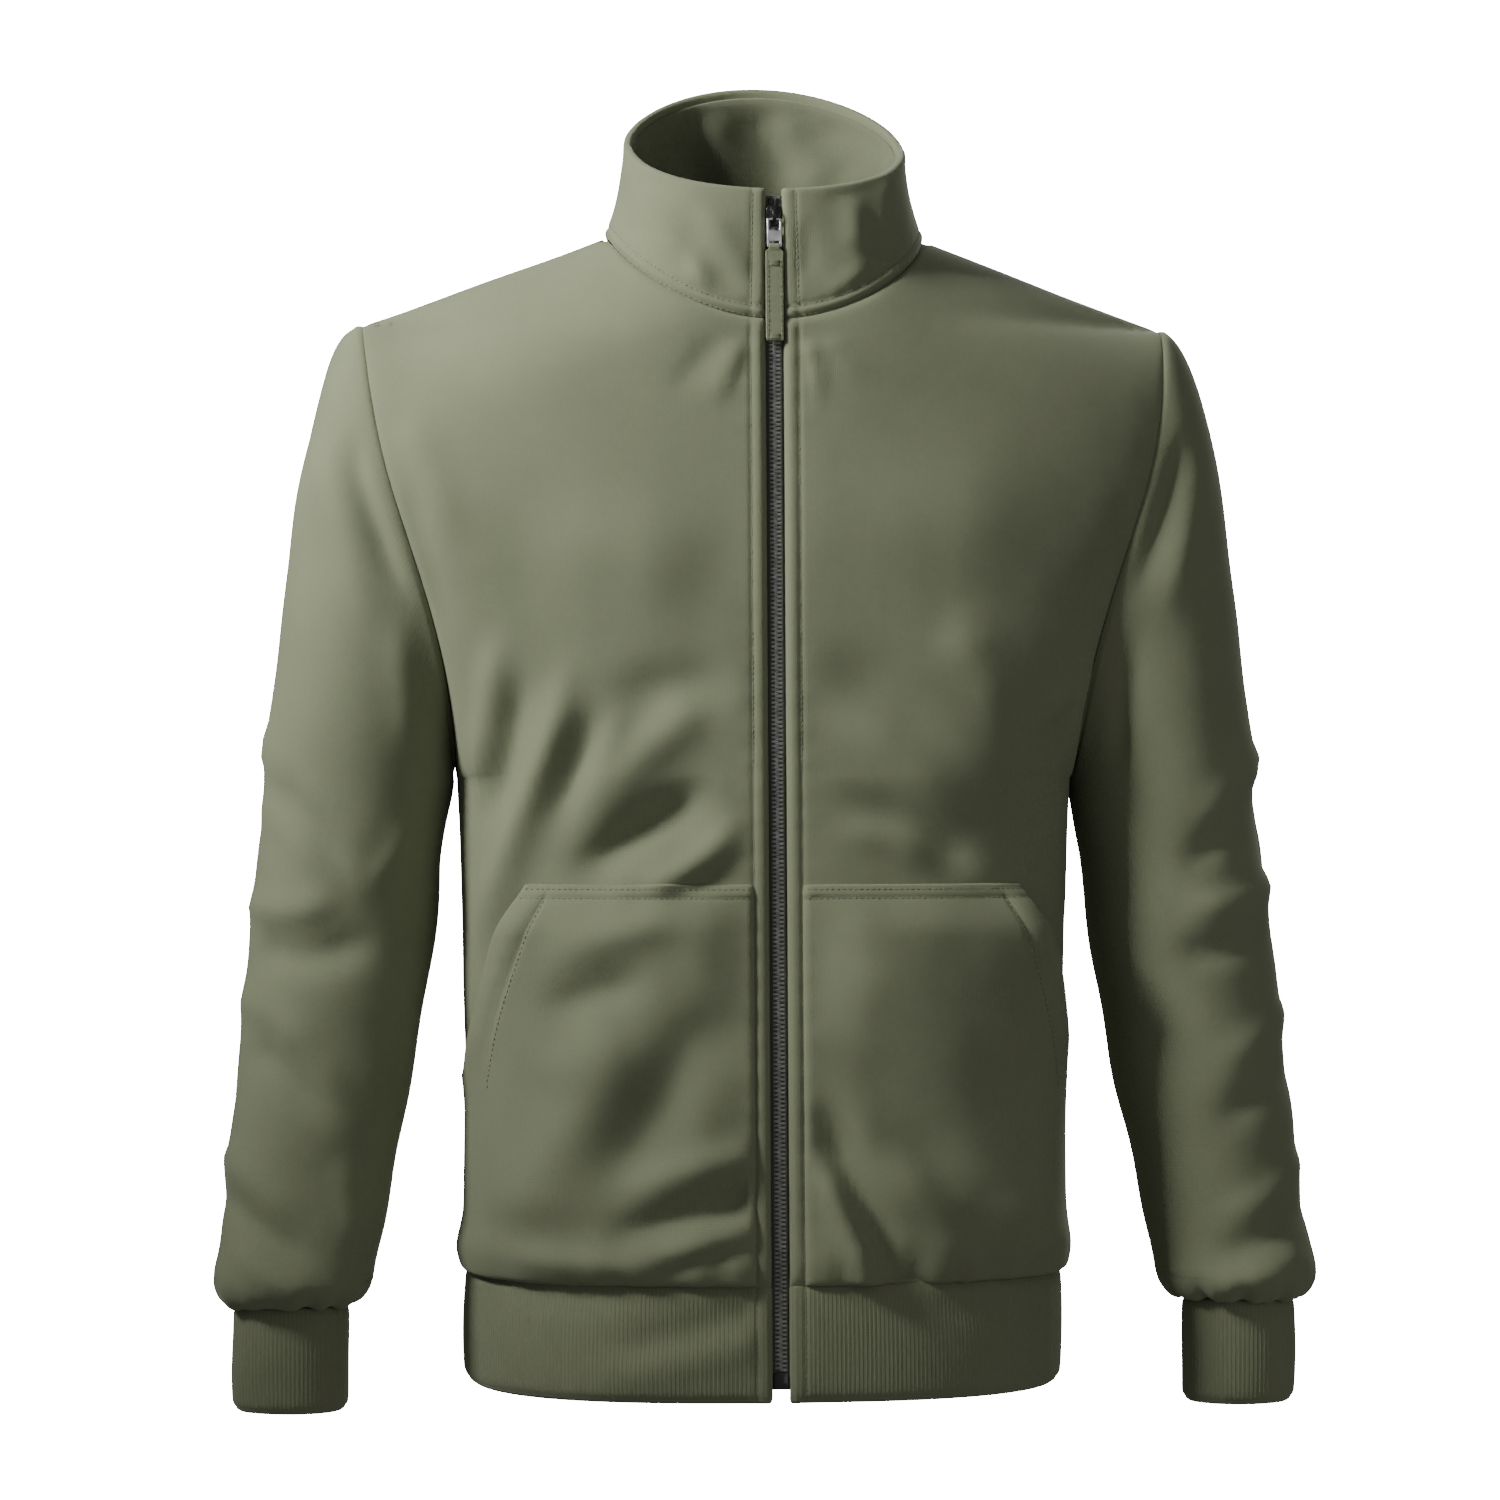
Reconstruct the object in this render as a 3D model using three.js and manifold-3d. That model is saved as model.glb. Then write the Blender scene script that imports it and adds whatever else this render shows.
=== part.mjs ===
// Full-zip sweatshirt jacket with a stand-up collar, two kangaroo pockets, rib cuffs and a rib waistband.
// Millimetres, +Z up. The front faces -Y and the wearer's left side is +X.
// The origin is the centre of the neck base, level with the two points where shoulder and neck seams meet.
import * as THREE from 'three';
import { mergeVertices } from 'three/addons/utils/BufferGeometryUtils.js';
import Module from 'manifold-3d';

const wasm = await Module();
wasm.setup();

// Cloth
const FLEECE = 2.6;
const RIB = 3.2;
const FACING = 2.0;
const NECK_TAPE = 0.8;
const SEAM_GAP = 0.4;

// Body
const SHOULDER_HALF_WIDTH = 247;
const SHOULDER_DROP = 55;
const CHEST_HALF_WIDTH = 190;
const HEM_HALF_WIDTH = 183;
const HEM_LEVEL = -701;
const WAISTBAND_HEIGHT = 67;
const SEAM_PLANE_Y = -5;
const SHOULDER_ROLL = 80;
const BODY_ROUNDNESS = 2.6;
const BACK_HEM_DEPTH = 118;
const BACK_WAIST_DEPTH = 113;
const BACK_BLADE_DEPTH = 130;
const BACK_NECK_DEPTH = 112;

// Armhole
const ARMHOLE_HEIGHT = 278;
const ARMHOLE_FRONT_DEPTH = 64;
const ARMHOLE_BACK_DEPTH = 60;
const ARMHOLE_BOW = 5;

// Neck and collar
const NECK_HALF_WIDTH = 98;
const NECK_FRONT_DROP = 57;
const NECK_BACK_REACH = 75;
const NECK_RIDGE_RISE = 28;
const RIM_HALF_WIDTH = 87;
const RIM_FRONT_LEVEL = 20;
const RIM_SIDE_LEVEL = 54;
const RIM_BACK_LEVEL = 99;
const RIM_BACK_DEPTH = 60;
const COLLAR_LOFT = 2.4;
const COLLAR_WAIST = 0.02;
const NECK_TAPE_HEIGHT = 0.16;

// Sleeve and cuff
const BICEP_WIDTH = 116;
const BICEP_HALF_DEPTH = 64;
const BICEP_TILT = 0.36;
const BICEP_DROP = 52;
const BICEP_OUT = 9;
const SLEEVE_END_LEVEL = -652;
const SLEEVE_END_WIDTH = 94;
const SLEEVE_END_HALF_DEPTH = 46;
const SLEEVE_END_OUT = 98;
const SLEEVE_END_FORWARD = 42;
const BLOUSE_HEIGHT = 18;
const CUFF_HALF_WIDTH = 34.7;
const CUFF_HALF_DEPTH = 29;
const CUFF_HEIGHT = 62;

// Pockets
const POCKET_TOP_LEVEL = -397;
const POCKET_TOP_WIDTH = 149;
const POCKET_MOUTH_DROP = 118;
const POCKET_SEWN_GAP = 0.8;
const POCKET_STAND_OFF = 9;
const POCKET_MOUTH_STAND_OFF = 6;

// Zip, in its own frame: x across, y into the jacket, z up along the teeth, from the collar's top edge
const ZIP_TOP_DEPTH = 88;
const ZIP_SLOPE = 0.075;
const ZIP_HALF_OPENING = 6.5;
const ZIP_END_MARGIN = 7;
const ZIP_TOP_MARGIN = 2;
const TAPE_THICKNESS = 0.8;
const TAPE_OUTER_EDGE = 17;
const TAPE_CLEARANCE = 0.6;
const TAPE_FRONT = Math.max(FLEECE, RIB) + TAPE_CLEARANCE;
const TEETH_INNER_EDGE = 0.8;
const TEETH_WIDTH = 2.6;
const TEETH_THICKNESS = 2.6;
const HARDWARE_GAP = 0.3;
const SLIDER_HEIGHT = 13;
const SLIDER_HALF_WIDTH = 4.8;
const SLIDER_PLATE = 1.1;
const SLIDER_FLANGE = 1.0;
const SLIDER_POST_HALF_WIDTH = 0.45;
const SLIDER_REST_DEPTH = 14;
const BRIDGE_HALF_WIDTH = 1.2;
const BRIDGE_LENGTH = 9.4;
const BRIDGE_RISE = 4.6;
const BRIDGE_BAR = 1.2;
const STOP_HEIGHT = 3.6;
const BOX_HEIGHT = 10;
const BOX_HALF_WIDTH = 4.4;
const BOX_WALL = 0.9;
const PIN_LENGTH = 15;
const PULL_LENGTH = 17;
const PULL_WIDTH = 9;
const PULL_RAIL = 1.5;
const PULL_THICKNESS = 1.2;
const STRAP_LENGTH = 57;
const STRAP_WIDTH = 10;
const STRAP_NECK_WIDTH = 5.2;
const STRAP_LAYER = 1.1;

// Mesh density
const NECK_STEPS = 6;
const SHOULDER_STEPS = 6;
const LOWER_ROWS = 7;
const ARMHOLE_ROWS = 10;
const CAP_RINGS = 7;
const ARM_RINGS = 7;
const END_RINGS = 3;

// Derived places
const SHOULDER_POINT = { x: SHOULDER_HALF_WIDTH, z: -SHOULDER_DROP };
const UNDERARM = { x: CHEST_HALF_WIDTH, z: -SHOULDER_DROP - ARMHOLE_HEIGHT };
const HEM_SEAM_LEVEL = HEM_LEVEL + WAISTBAND_HEIGHT;

const COLOURS = {
  fleece: { color: 0x6e7358, roughness: 0.95, metalness: 0 },
  facing: { color: 0x5c6149, roughness: 0.95, metalness: 0 },
  rib: { color: 0x666b50, roughness: 0.95, metalness: 0 },
  tape: { color: 0x3d4034, roughness: 0.85, metalness: 0 },
  teeth: { color: 0x4a4b46, roughness: 0.5, metalness: 0.4 },
  dark: { color: 0x1d1e1c, roughness: 0.5, metalness: 0.3 },
  metal: { color: 0xb9bcbc, roughness: 0.3, metalness: 1 },
};

const mix = (a, b, t) => a + (b - a) * t;
const clamp01 = (t) => Math.min(Math.max(t, 0), 1);
const ease = (t) => clamp01(t) ** 2 * (3 - 2 * clamp01(t));
const vec = (x, y, z) => new THREE.Vector3(x, y, z);

// ---------------------------------------------------------------- body surface

// Depth of the straight zip line in front of y = 0 at a height.
const zipDepth = (z) => ZIP_TOP_DEPTH + (RIM_FRONT_LEVEL - z) * ZIP_SLOPE;

// Smooth curve through [height, value] pairs in rising order.
function throughHeights(pairs, z) {
  let i = 0;
  while (i < pairs.length - 2 && z > pairs[i + 1][0]) i += 1;
  const slope = (k) => {
    const a = pairs[Math.max(k - 1, 0)];
    const b = pairs[Math.min(k + 1, pairs.length - 1)];
    return (b[1] - a[1]) / (b[0] - a[0]);
  };
  const [z0, v0] = pairs[i];
  const [z1, v1] = pairs[i + 1];
  const t = clamp01((z - z0) / (z1 - z0));
  const span = z1 - z0;
  const rise = t * t * (3 - 2 * t);
  return mix(v0, v1, rise) + span * t * (1 - t) * ((1 - t) * slope(i) - t * slope(i + 1));
}

const backDepth = (z) => throughHeights([
  [HEM_LEVEL, BACK_HEM_DEPTH],
  [mix(HEM_LEVEL, UNDERARM.z, 0.55), BACK_WAIST_DEPTH],
  [mix(UNDERARM.z, SHOULDER_POINT.z, 0.45), BACK_BLADE_DEPTH],
  [SHOULDER_DROP, BACK_NECK_DEPTH],
], z);

// Height of the shoulder seam at a distance from the middle; inside the neck it rounds off to a level ridge.
function shoulderLine(x) {
  if (x < NECK_HALF_WIDTH) return NECK_RIDGE_RISE * (1 - (x / NECK_HALF_WIDTH) ** 1.6);
  return -SHOULDER_DROP * (x - NECK_HALF_WIDTH) / (SHOULDER_HALF_WIDTH - NECK_HALF_WIDTH);
}

const armholeShare = (z) => clamp01((SHOULDER_POINT.z - z) / ARMHOLE_HEIGHT);

// Outline of the body seen from the front: side seam, then armhole, then the shoulder's full width.
function edgeX(z) {
  if (z >= SHOULDER_POINT.z) return SHOULDER_HALF_WIDTH;
  if (z > UNDERARM.z) {
    const t = armholeShare(z);
    return mix(SHOULDER_POINT.x, UNDERARM.x, t) + ARMHOLE_BOW * Math.sin(2 * Math.PI * t);
  }
  const f = clamp01((z - HEM_SEAM_LEVEL) / (UNDERARM.z - HEM_SEAM_LEVEL));
  return mix(HEM_HALF_WIDTH, CHEST_HALF_WIDTH, f ** 1.8);
}

// Depth of the armhole's edge from the seam plane; the side seam lies in that plane.
function edgeDepth(z, front) {
  const t = armholeShare(z);
  const reach = front ? ARMHOLE_FRONT_DEPTH : ARMHOLE_BACK_DEPTH;
  return reach * Math.sqrt(Math.max(0, 1 - (1 - 2 * t) ** 2));
}

// y of the body's outer surface; the front half bulges to -Y and the back half to +Y.
function bodyY(x, z, front) {
  const middle = front ? zipDepth(z) + SEAM_PLANE_Y : backDepth(z) - SEAM_PLANE_Y;
  const below = clamp01((shoulderLine(x) - z) / SHOULDER_ROLL);
  const top = Math.sqrt(1 - (1 - below) ** 2);
  const edge = edgeDepth(z, front);
  const u = clamp01(x / edgeX(z));
  const fall = mix(BODY_ROUNDNESS, 1.1, ease((z - UNDERARM.z) / (ARMHOLE_HEIGHT * 0.43)));
  const across = (1 - u ** BODY_ROUNDNESS) ** (1 / fall);
  const depth = edge + (middle * top - edge) * across;
  return SEAM_PLANE_Y + (front ? -depth : depth);
}

// Neck seam: angle 0 is the middle front, a quarter turn is the shoulder seam, a half turn the middle back.
function neckPoint(angle) {
  const x = NECK_HALF_WIDTH * Math.sin(angle);
  const front = Math.cos(angle) >= 0;
  let z = -NECK_FRONT_DROP * (1 + Math.cos(angle) - Math.sin(angle) ** 2) / 2;
  if (!front) {
    const reach = NECK_BACK_REACH * Math.abs(Math.cos(angle)) ** 0.8 / (BACK_NECK_DEPTH - SEAM_PLANE_Y);
    z = shoulderLine(Math.abs(x)) - SHOULDER_ROLL * (1 - Math.sqrt(1 - reach ** 2));
  }
  return vec(x, bodyY(Math.abs(x), z, front), z);
}

// Outward direction of the body's surface at the neck seam.
function bodyNormalAtNeck(angle) {
  const p = neckPoint(angle);
  const front = Math.cos(angle) >= 0;
  const z = p.z - 2;
  const x = Math.min(Math.abs(p.x), NECK_HALF_WIDTH - 0.01);
  const slopeX = bodyY(x + 1, z, front) - bodyY(x, z, front);
  const slopeZ = bodyY(x, z, front) - bodyY(x, z - 1, front);
  const outward = front ? -1 : 1;
  const n = vec(-slopeX * outward * Math.sign(p.x || 1), outward, -slopeZ * outward).normalize();
  const atShoulderSeam = Math.abs(Math.cos(angle)) < 1e-6;
  if (atShoulderSeam) n.y = 0;
  return n.normalize();
}

// Shared direction of the two cut edges at the neck seam, long enough to keep both cloths at full thickness.
function neckSeamNormal(angle) {
  const body = bodyNormalAtNeck(angle);
  const collar = vec(Math.sin(angle) / NECK_HALF_WIDTH, -Math.cos(angle) / ZIP_TOP_DEPTH, 0).normalize();
  const half = body.clone().add(collar).normalize();
  return half.divideScalar(Math.max(half.dot(collar), 0.7));
}

// Armhole seam: angle 0 is the shoulder point, a quarter turn the front, a half turn the underarm.
function armholePoint(angle) {
  const t = (1 - Math.cos(angle)) / 2;
  const reach = Math.sin(angle) >= 0 ? ARMHOLE_FRONT_DEPTH : ARMHOLE_BACK_DEPTH;
  const x = mix(SHOULDER_POINT.x, UNDERARM.x, t) + ARMHOLE_BOW * Math.sin(2 * Math.PI * t);
  return vec(x, SEAM_PLANE_Y - reach * Math.sin(angle), mix(SHOULDER_POINT.z, UNDERARM.z, t));
}

const armholeAxis = vec(SHOULDER_POINT.x - UNDERARM.x, 0, ARMHOLE_HEIGHT).normalize();
const armholeFacing = vec(ARMHOLE_HEIGHT, 0, UNDERARM.x - SHOULDER_POINT.x).normalize();

// Outward direction at the armhole seam, in the seam's own plane.
function armholeNormal(angle) {
  const reach = Math.sin(angle) >= 0 ? ARMHOLE_FRONT_DEPTH : ARMHOLE_BACK_DEPTH;
  const n = armholeAxis.clone().multiplyScalar(Math.cos(angle) / (ARMHOLE_HEIGHT / 2));
  n.y = -Math.sin(angle) / reach;
  return n.normalize();
}

// ---------------------------------------------------------------- shells

// Unit normals of a grid of points, by differences between neighbours.
function gridNormals(grid, closed, centreOf) {
  const columns = grid.length;
  const rows = grid[0].length;
  const at = (i, j) => grid[closed ? (i + columns) % columns : Math.min(Math.max(i, 0), columns - 1)][j];
  let outwardSum = 0;
  const normals = grid.map((column, i) => column.map((p, j) => {
    const across = at(i + 1, j).clone().sub(at(i - 1, j));
    const along = at(i, Math.min(j + 1, rows - 1)).clone().sub(at(i, Math.max(j - 1, 0)));
    const n = across.cross(along).normalize();
    outwardSum += n.dot(p.clone().sub(centreOf(p, j)));
    return n;
  }));
  if (outwardSum < 0) normals.forEach((column) => column.forEach((n) => n.negate()));
  return normals;
}

function geometryFrom(points, quads) {
  const geometry = new THREE.BufferGeometry();
  const positions = points.flatMap((p) => [p.x, p.y, p.z]);
  geometry.setAttribute('position', new THREE.Float32BufferAttribute(positions, 3));
  const triangles = quads.flatMap(([a, b, c, d]) => [a, b, c, a, c, d]);
  let volume = 0;
  for (let k = 0; k < triangles.length; k += 3) {
    const [a, b, c] = [0, 1, 2].map((m) => points[triangles[k + m]]);
    volume += a.dot(b.clone().cross(c));
  }
  if (volume < 0) triangles.reverse();
  geometry.setIndex(triangles);
  geometry.computeVertexNormals();
  return geometry;
}

// Closed body between two faces of a sheet: lift is the outer face's distance from the grid.
function sheet(grid, thickness, options) {
  const { closed = false, lift = 0, centreOf, edgeNormal = () => null } = options;
  const columns = grid.length;
  const rows = grid[0].length;
  const normals = gridNormals(grid, closed, centreOf);
  const faces = [lift, lift - thickness].map((distance) => grid.map((column, i) => column.map((p, j) => {
    const n = edgeNormal(i, j, normals[i][j]) ?? normals[i][j];
    return p.clone().addScaledVector(n, distance);
  })));
  const points = faces.flat(2);
  const index = (face, i, j) => face * columns * rows + (i % columns) * rows + j;
  const quads = [];
  const wide = closed ? columns : columns - 1;
  for (let i = 0; i < wide; i += 1) {
    for (let j = 0; j < rows - 1; j += 1) {
      quads.push([index(0, i, j), index(0, i + 1, j), index(0, i + 1, j + 1), index(0, i, j + 1)]);
      quads.push([index(1, i, j), index(1, i, j + 1), index(1, i + 1, j + 1), index(1, i + 1, j)]);
    }
    quads.push([index(0, i, 0), index(1, i, 0), index(1, i + 1, 0), index(0, i + 1, 0)]);
    const top = rows - 1;
    quads.push([index(0, i, top), index(0, i + 1, top), index(1, i + 1, top), index(1, i, top)]);
  }
  if (!closed) {
    for (let j = 0; j < rows - 1; j += 1) {
      quads.push([index(0, 0, j), index(0, 0, j + 1), index(1, 0, j + 1), index(1, 0, j)]);
      const last = columns - 1;
      quads.push([index(0, last, j), index(1, last, j), index(1, last, j + 1), index(0, last, j + 1)]);
    }
  }
  return geometryFrom(points, quads);
}

const bodyCentre = (p) => vec(0, SEAM_PLANE_Y, p.z);

// ---------------------------------------------------------------- body panels

// Places of a panel's columns: where each one ends at the top, and its neck angle if it ends at the neck.
function panelColumns(startX, front) {
  const columns = [];
  const startAngle = Math.asin(startX / NECK_HALF_WIDTH);
  for (let k = 0; k <= NECK_STEPS; k += 1) {
    const quarter = mix(startAngle, Math.PI / 2, k / NECK_STEPS);
    const angle = front ? quarter : Math.PI - quarter;
    columns.push({ x: NECK_HALF_WIDTH * Math.sin(quarter), z: neckPoint(angle).z, angle });
  }
  for (let k = 1; k <= SHOULDER_STEPS; k += 1) {
    const share = 1 - (1 - k / SHOULDER_STEPS) ** 1.4;
    const x = mix(NECK_HALF_WIDTH, SHOULDER_HALF_WIDTH, share);
    columns.push({ x, z: shoulderLine(x) });
  }
  return columns;
}

// Heights of a column's points: even up to the underarm, then spaced as the armhole's angle.
function columnHeights(topZ) {
  const heights = [];
  for (let j = 0; j < LOWER_ROWS; j += 1) {
    heights.push(mix(HEM_SEAM_LEVEL + SEAM_GAP / 2, UNDERARM.z, j / LOWER_ROWS));
  }
  for (let j = 0; j <= ARMHOLE_ROWS; j += 1) {
    heights.push(mix(UNDERARM.z, topZ, (1 - Math.cos(Math.PI * j / ARMHOLE_ROWS)) / 2));
  }
  return heights;
}

// Half of a panel on one side (+1 or -1), from startX to the side seam and armhole.
function halfPanelGrid(side, startX, front) {
  const columns = panelColumns(startX, front);
  return columns.map((column, k) => {
    const share = (column.x - startX) / (SHOULDER_HALF_WIDTH - startX);
    return columnHeights(column.z).map((z, row, all) => {
      const x = mix(startX, edgeX(z), share);
      const p = vec(x, bodyY(x, z, front), z);
      p.y += front ? -SEAM_GAP / 2 : SEAM_GAP / 2;
      if (row === all.length - 1 && column.angle !== undefined) p.z -= SEAM_GAP / 2;
      if (k === columns.length - 1 && row >= LOWER_ROWS) p.addScaledVector(armholeFacing, -SEAM_GAP / 2);
      p.x *= side;
      return p;
    });
  });
}

// Directions of a panel's cut edges, shared with the pieces that they are sewn to.
function panelEdgeNormal(columns, startX, front, side, k, row, n) {
  const lastColumn = columns.length - 1;
  const lastRow = LOWER_ROWS + ARMHOLE_ROWS;
  let edge = null;
  if (k === lastColumn && row >= LOWER_ROWS) {
    const turn = Math.PI * (1 - (row - LOWER_ROWS) / ARMHOLE_ROWS);
    edge = armholeNormal(front ? turn : -turn);
    edge.x *= side;
  } else if (row === lastRow && columns[k].angle !== undefined) {
    edge = neckSeamNormal(columns[k].angle);
    edge.x *= side;
  } else if (k === lastColumn || row === lastRow) {
    edge = vec(n.x, 0, n.z).normalize();
  } else if (row === 0) {
    edge = vec(n.x, n.y, 0).normalize();
  }
  return edge;
}

function frontPanel(side) {
  const columns = panelColumns(ZIP_HALF_OPENING, true);
  const grid = halfPanelGrid(side, ZIP_HALF_OPENING, true);
  const edgeNormal = (k, row, n) => panelEdgeNormal(columns, ZIP_HALF_OPENING, true, side, k, row, n);
  return sheet(grid, FLEECE, { centreOf: bodyCentre, edgeNormal });
}

function backPanel() {
  const columns = panelColumns(0, false);
  const left = halfPanelGrid(1, 0, false);
  const right = halfPanelGrid(-1, 0, false).slice(1).reverse();
  const middle = columns.length - 1;
  const edgeNormal = (i, row, n) => {
    const side = i < middle ? -1 : 1;
    return panelEdgeNormal(columns, 0, false, side, Math.abs(i - middle), row, n);
  };
  return sheet([...right, ...left], FLEECE, { centreOf: bodyCentre, edgeNormal });
}

// Ring of body outline points at one height, from one zip edge round the back to the other.
function bodyRing(z, startX, steps) {
  const start = Math.asin(startX / edgeX(z));
  const ring = [];
  for (let i = 0; i <= steps; i += 1) {
    const angle = mix(start, 2 * Math.PI - start, i / steps);
    const x = edgeX(z) * Math.sin(angle);
    ring.push(vec(x, bodyY(Math.abs(x), z, Math.cos(angle) > 0), z));
  }
  return ring;
}

function waistband() {
  const steps = 36;
  const levels = [HEM_LEVEL, mix(HEM_LEVEL, HEM_SEAM_LEVEL, 0.5), HEM_SEAM_LEVEL - SEAM_GAP / 2];
  const rings = levels.map((z) => bodyRing(z, ZIP_HALF_OPENING, steps));
  const grid = rings[0].map((_, i) => rings.map((ring) => ring[i]));
  const edgeNormal = (i, j, n) => vec(n.x, n.y, 0).normalize();
  return sheet(grid, RIB, { centreOf: bodyCentre, edgeNormal });
}

// ---------------------------------------------------------------- collar

// Point on the collar: angle as for the neck seam, height 0 at the seam and 1 at the rim.
function collarPoint(angle, height) {
  const base = neckPoint(angle);
  const front = Math.cos(angle) >= 0;
  const x = RIM_HALF_WIDTH * Math.sin(angle);
  const middleY = (RIM_BACK_DEPTH - ZIP_TOP_DEPTH) / 2;
  const reach = (RIM_BACK_DEPTH + ZIP_TOP_DEPTH) / 2;
  const bulge = (1 - Math.abs(Math.sin(angle)) ** BODY_ROUNDNESS) ** (1 / BODY_ROUNDNESS);
  const y = middleY - (front ? reach * bulge : reach * Math.cos(angle));
  const middleZ = (RIM_BACK_LEVEL + RIM_FRONT_LEVEL) / 2;
  const swing = (RIM_BACK_LEVEL - RIM_FRONT_LEVEL) / 2;
  const z = middleZ - swing * Math.cos(angle) + (RIM_SIDE_LEVEL - middleZ) * Math.sin(angle) ** 2;
  const p = base.lerp(vec(x, y, z), height);
  const pinch = 1 - COLLAR_WAIST * Math.sin(Math.PI * height) * Math.sin(angle) ** 2;
  p.x *= pinch;
  return p;
}

// Angles from one front edge round the back to the other, with one on each shoulder seam.
function roundTheNeck(start, steps) {
  const stops = start < Math.PI / 2 ? [start, Math.PI / 2, Math.PI] : [start, Math.PI];
  const half = stops.slice(1).flatMap((stop, k) => (
    Array.from({ length: steps }, (_, i) => mix(stops[k], stop, i / steps))));
  return [...half, Math.PI, ...half.map((angle) => 2 * Math.PI - angle).reverse()];
}

// Band of the collar between two heights, with lift from the collar's outer face.
function collarBand(startX, heights, thickness, lift, steps, fromAngle = 0) {
  const angles = roundTheNeck(Math.max(Math.asin(startX / NECK_HALF_WIDTH), fromAngle), steps);
  const onSeam = heights[0] === 0;
  const grid = angles.map((angle) => heights.map((height, j) => {
    const p = collarPoint(angle, height);
    if (onSeam && j === 0) p.z += SEAM_GAP / 2;
    return p;
  }));
  const edgeNormal = (i, j, n) => (onSeam && j === 0 ? neckSeamNormal(angles[i]) : n);
  return sheet(grid, thickness, { centreOf: (p) => vec(0, -14, p.z), edgeNormal, lift });
}

const collarOuter = () => collarBand(ZIP_HALF_OPENING, [0, 0.12, 0.4, 0.7, 1], FLEECE, 0, NECK_STEPS);

function collarInner() {
  const lift = -FLEECE - COLLAR_LOFT;
  return collarBand(ZIP_HALF_OPENING + 2, [0.05, 0.3, 0.65, 1], FACING, lift, NECK_STEPS);
}

function neckTape() {
  const lift = -FLEECE - COLLAR_LOFT - FACING - 2 * SEAM_GAP;
  const heights = [0.03, NECK_TAPE_HEIGHT];
  return collarBand(0, heights, NECK_TAPE, lift, NECK_STEPS, Math.PI / 2);
}

// ---------------------------------------------------------------- sleeves and cuffs

const BICEP_INNER = { x: UNDERARM.x + BICEP_OUT, z: UNDERARM.z - BICEP_DROP };
const BICEP_OUTER = {
  x: BICEP_INNER.x + BICEP_WIDTH * Math.cos(BICEP_TILT),
  z: BICEP_INNER.z + BICEP_WIDTH * Math.sin(BICEP_TILT),
};
const CUFF_CENTRE = { x: UNDERARM.x + SLEEVE_END_OUT + 2, y: SEAM_PLANE_Y - SLEEVE_END_FORWARD };

// Ring from the armhole (share 0) to the bicep (share 1), where the sleeve head turns downwards.
function capRing(share) {
  const drop = share ** 1.5;
  const outer = vec(
    mix(SHOULDER_POINT.x, BICEP_OUTER.x, drop ** 0.43), 0, mix(SHOULDER_POINT.z, BICEP_OUTER.z, drop));
  const inner = vec(
    mix(UNDERARM.x, BICEP_INNER.x, share ** 1.6), 0, mix(UNDERARM.z, BICEP_INNER.z, share ** 1.6));
  return { outer, inner, front: mix(ARMHOLE_FRONT_DEPTH, BICEP_HALF_DEPTH, share),
    back: mix(ARMHOLE_BACK_DEPTH, BICEP_HALF_DEPTH, share), y: SEAM_PLANE_Y, bow: ARMHOLE_BOW * (1 - share) };
}

// Ring from the bicep (share 0) to just above the gathered end (share 1).
function armRing(share) {
  const endLevel = SLEEVE_END_LEVEL + BLOUSE_HEIGHT;
  const startX = (BICEP_INNER.x + BICEP_OUTER.x) / 2;
  const startZ = (BICEP_INNER.z + BICEP_OUTER.z) / 2;
  const x = mix(startX, UNDERARM.x + SLEEVE_END_OUT, share ** 1.25);
  const z = mix(startZ, endLevel, share);
  const half = mix(BICEP_WIDTH, SLEEVE_END_WIDTH, share ** 1.4) / 2;
  const tilt = mix(BICEP_TILT, 0.06, ease(share * 2.5));
  const reach = mix(BICEP_HALF_DEPTH, SLEEVE_END_HALF_DEPTH, share ** 0.8);
  const axis = vec(Math.cos(tilt) * half, 0, Math.sin(tilt) * half);
  const centre = vec(x, 0, z);
  const y = SEAM_PLANE_Y - SLEEVE_END_FORWARD * share ** 1.3;
  return { outer: centre.clone().add(axis), inner: centre.sub(axis), front: reach, back: reach, y, bow: 0 };
}

// Ring of the gathered end, which rolls in from the sleeve's width to the cuff's.
function endRing(share) {
  const turn = share * Math.PI / 2;
  const half = mix(CUFF_HALF_WIDTH, SLEEVE_END_WIDTH / 2, Math.cos(turn));
  const reach = mix(CUFF_HALF_DEPTH, SLEEVE_END_HALF_DEPTH, Math.cos(turn));
  const x = mix(UNDERARM.x + SLEEVE_END_OUT, CUFF_CENTRE.x, share);
  const z = SLEEVE_END_LEVEL + SEAM_GAP + (BLOUSE_HEIGHT - SEAM_GAP) * (1 - Math.sin(turn));
  return { outer: vec(x + half, 0, z), inner: vec(x - half, 0, z), front: reach, back: reach,
    y: CUFF_CENTRE.y, bow: 0 };
}

function ringPoint(ring, angle) {
  const across = (1 + Math.cos(angle)) / 2;
  const p = ring.inner.clone().lerp(ring.outer, across);
  p.x += ring.bow * Math.sin(2 * Math.PI * (1 - across));
  p.y = ring.y - (Math.sin(angle) >= 0 ? ring.front : ring.back) * Math.sin(angle);
  return p;
}

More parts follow.
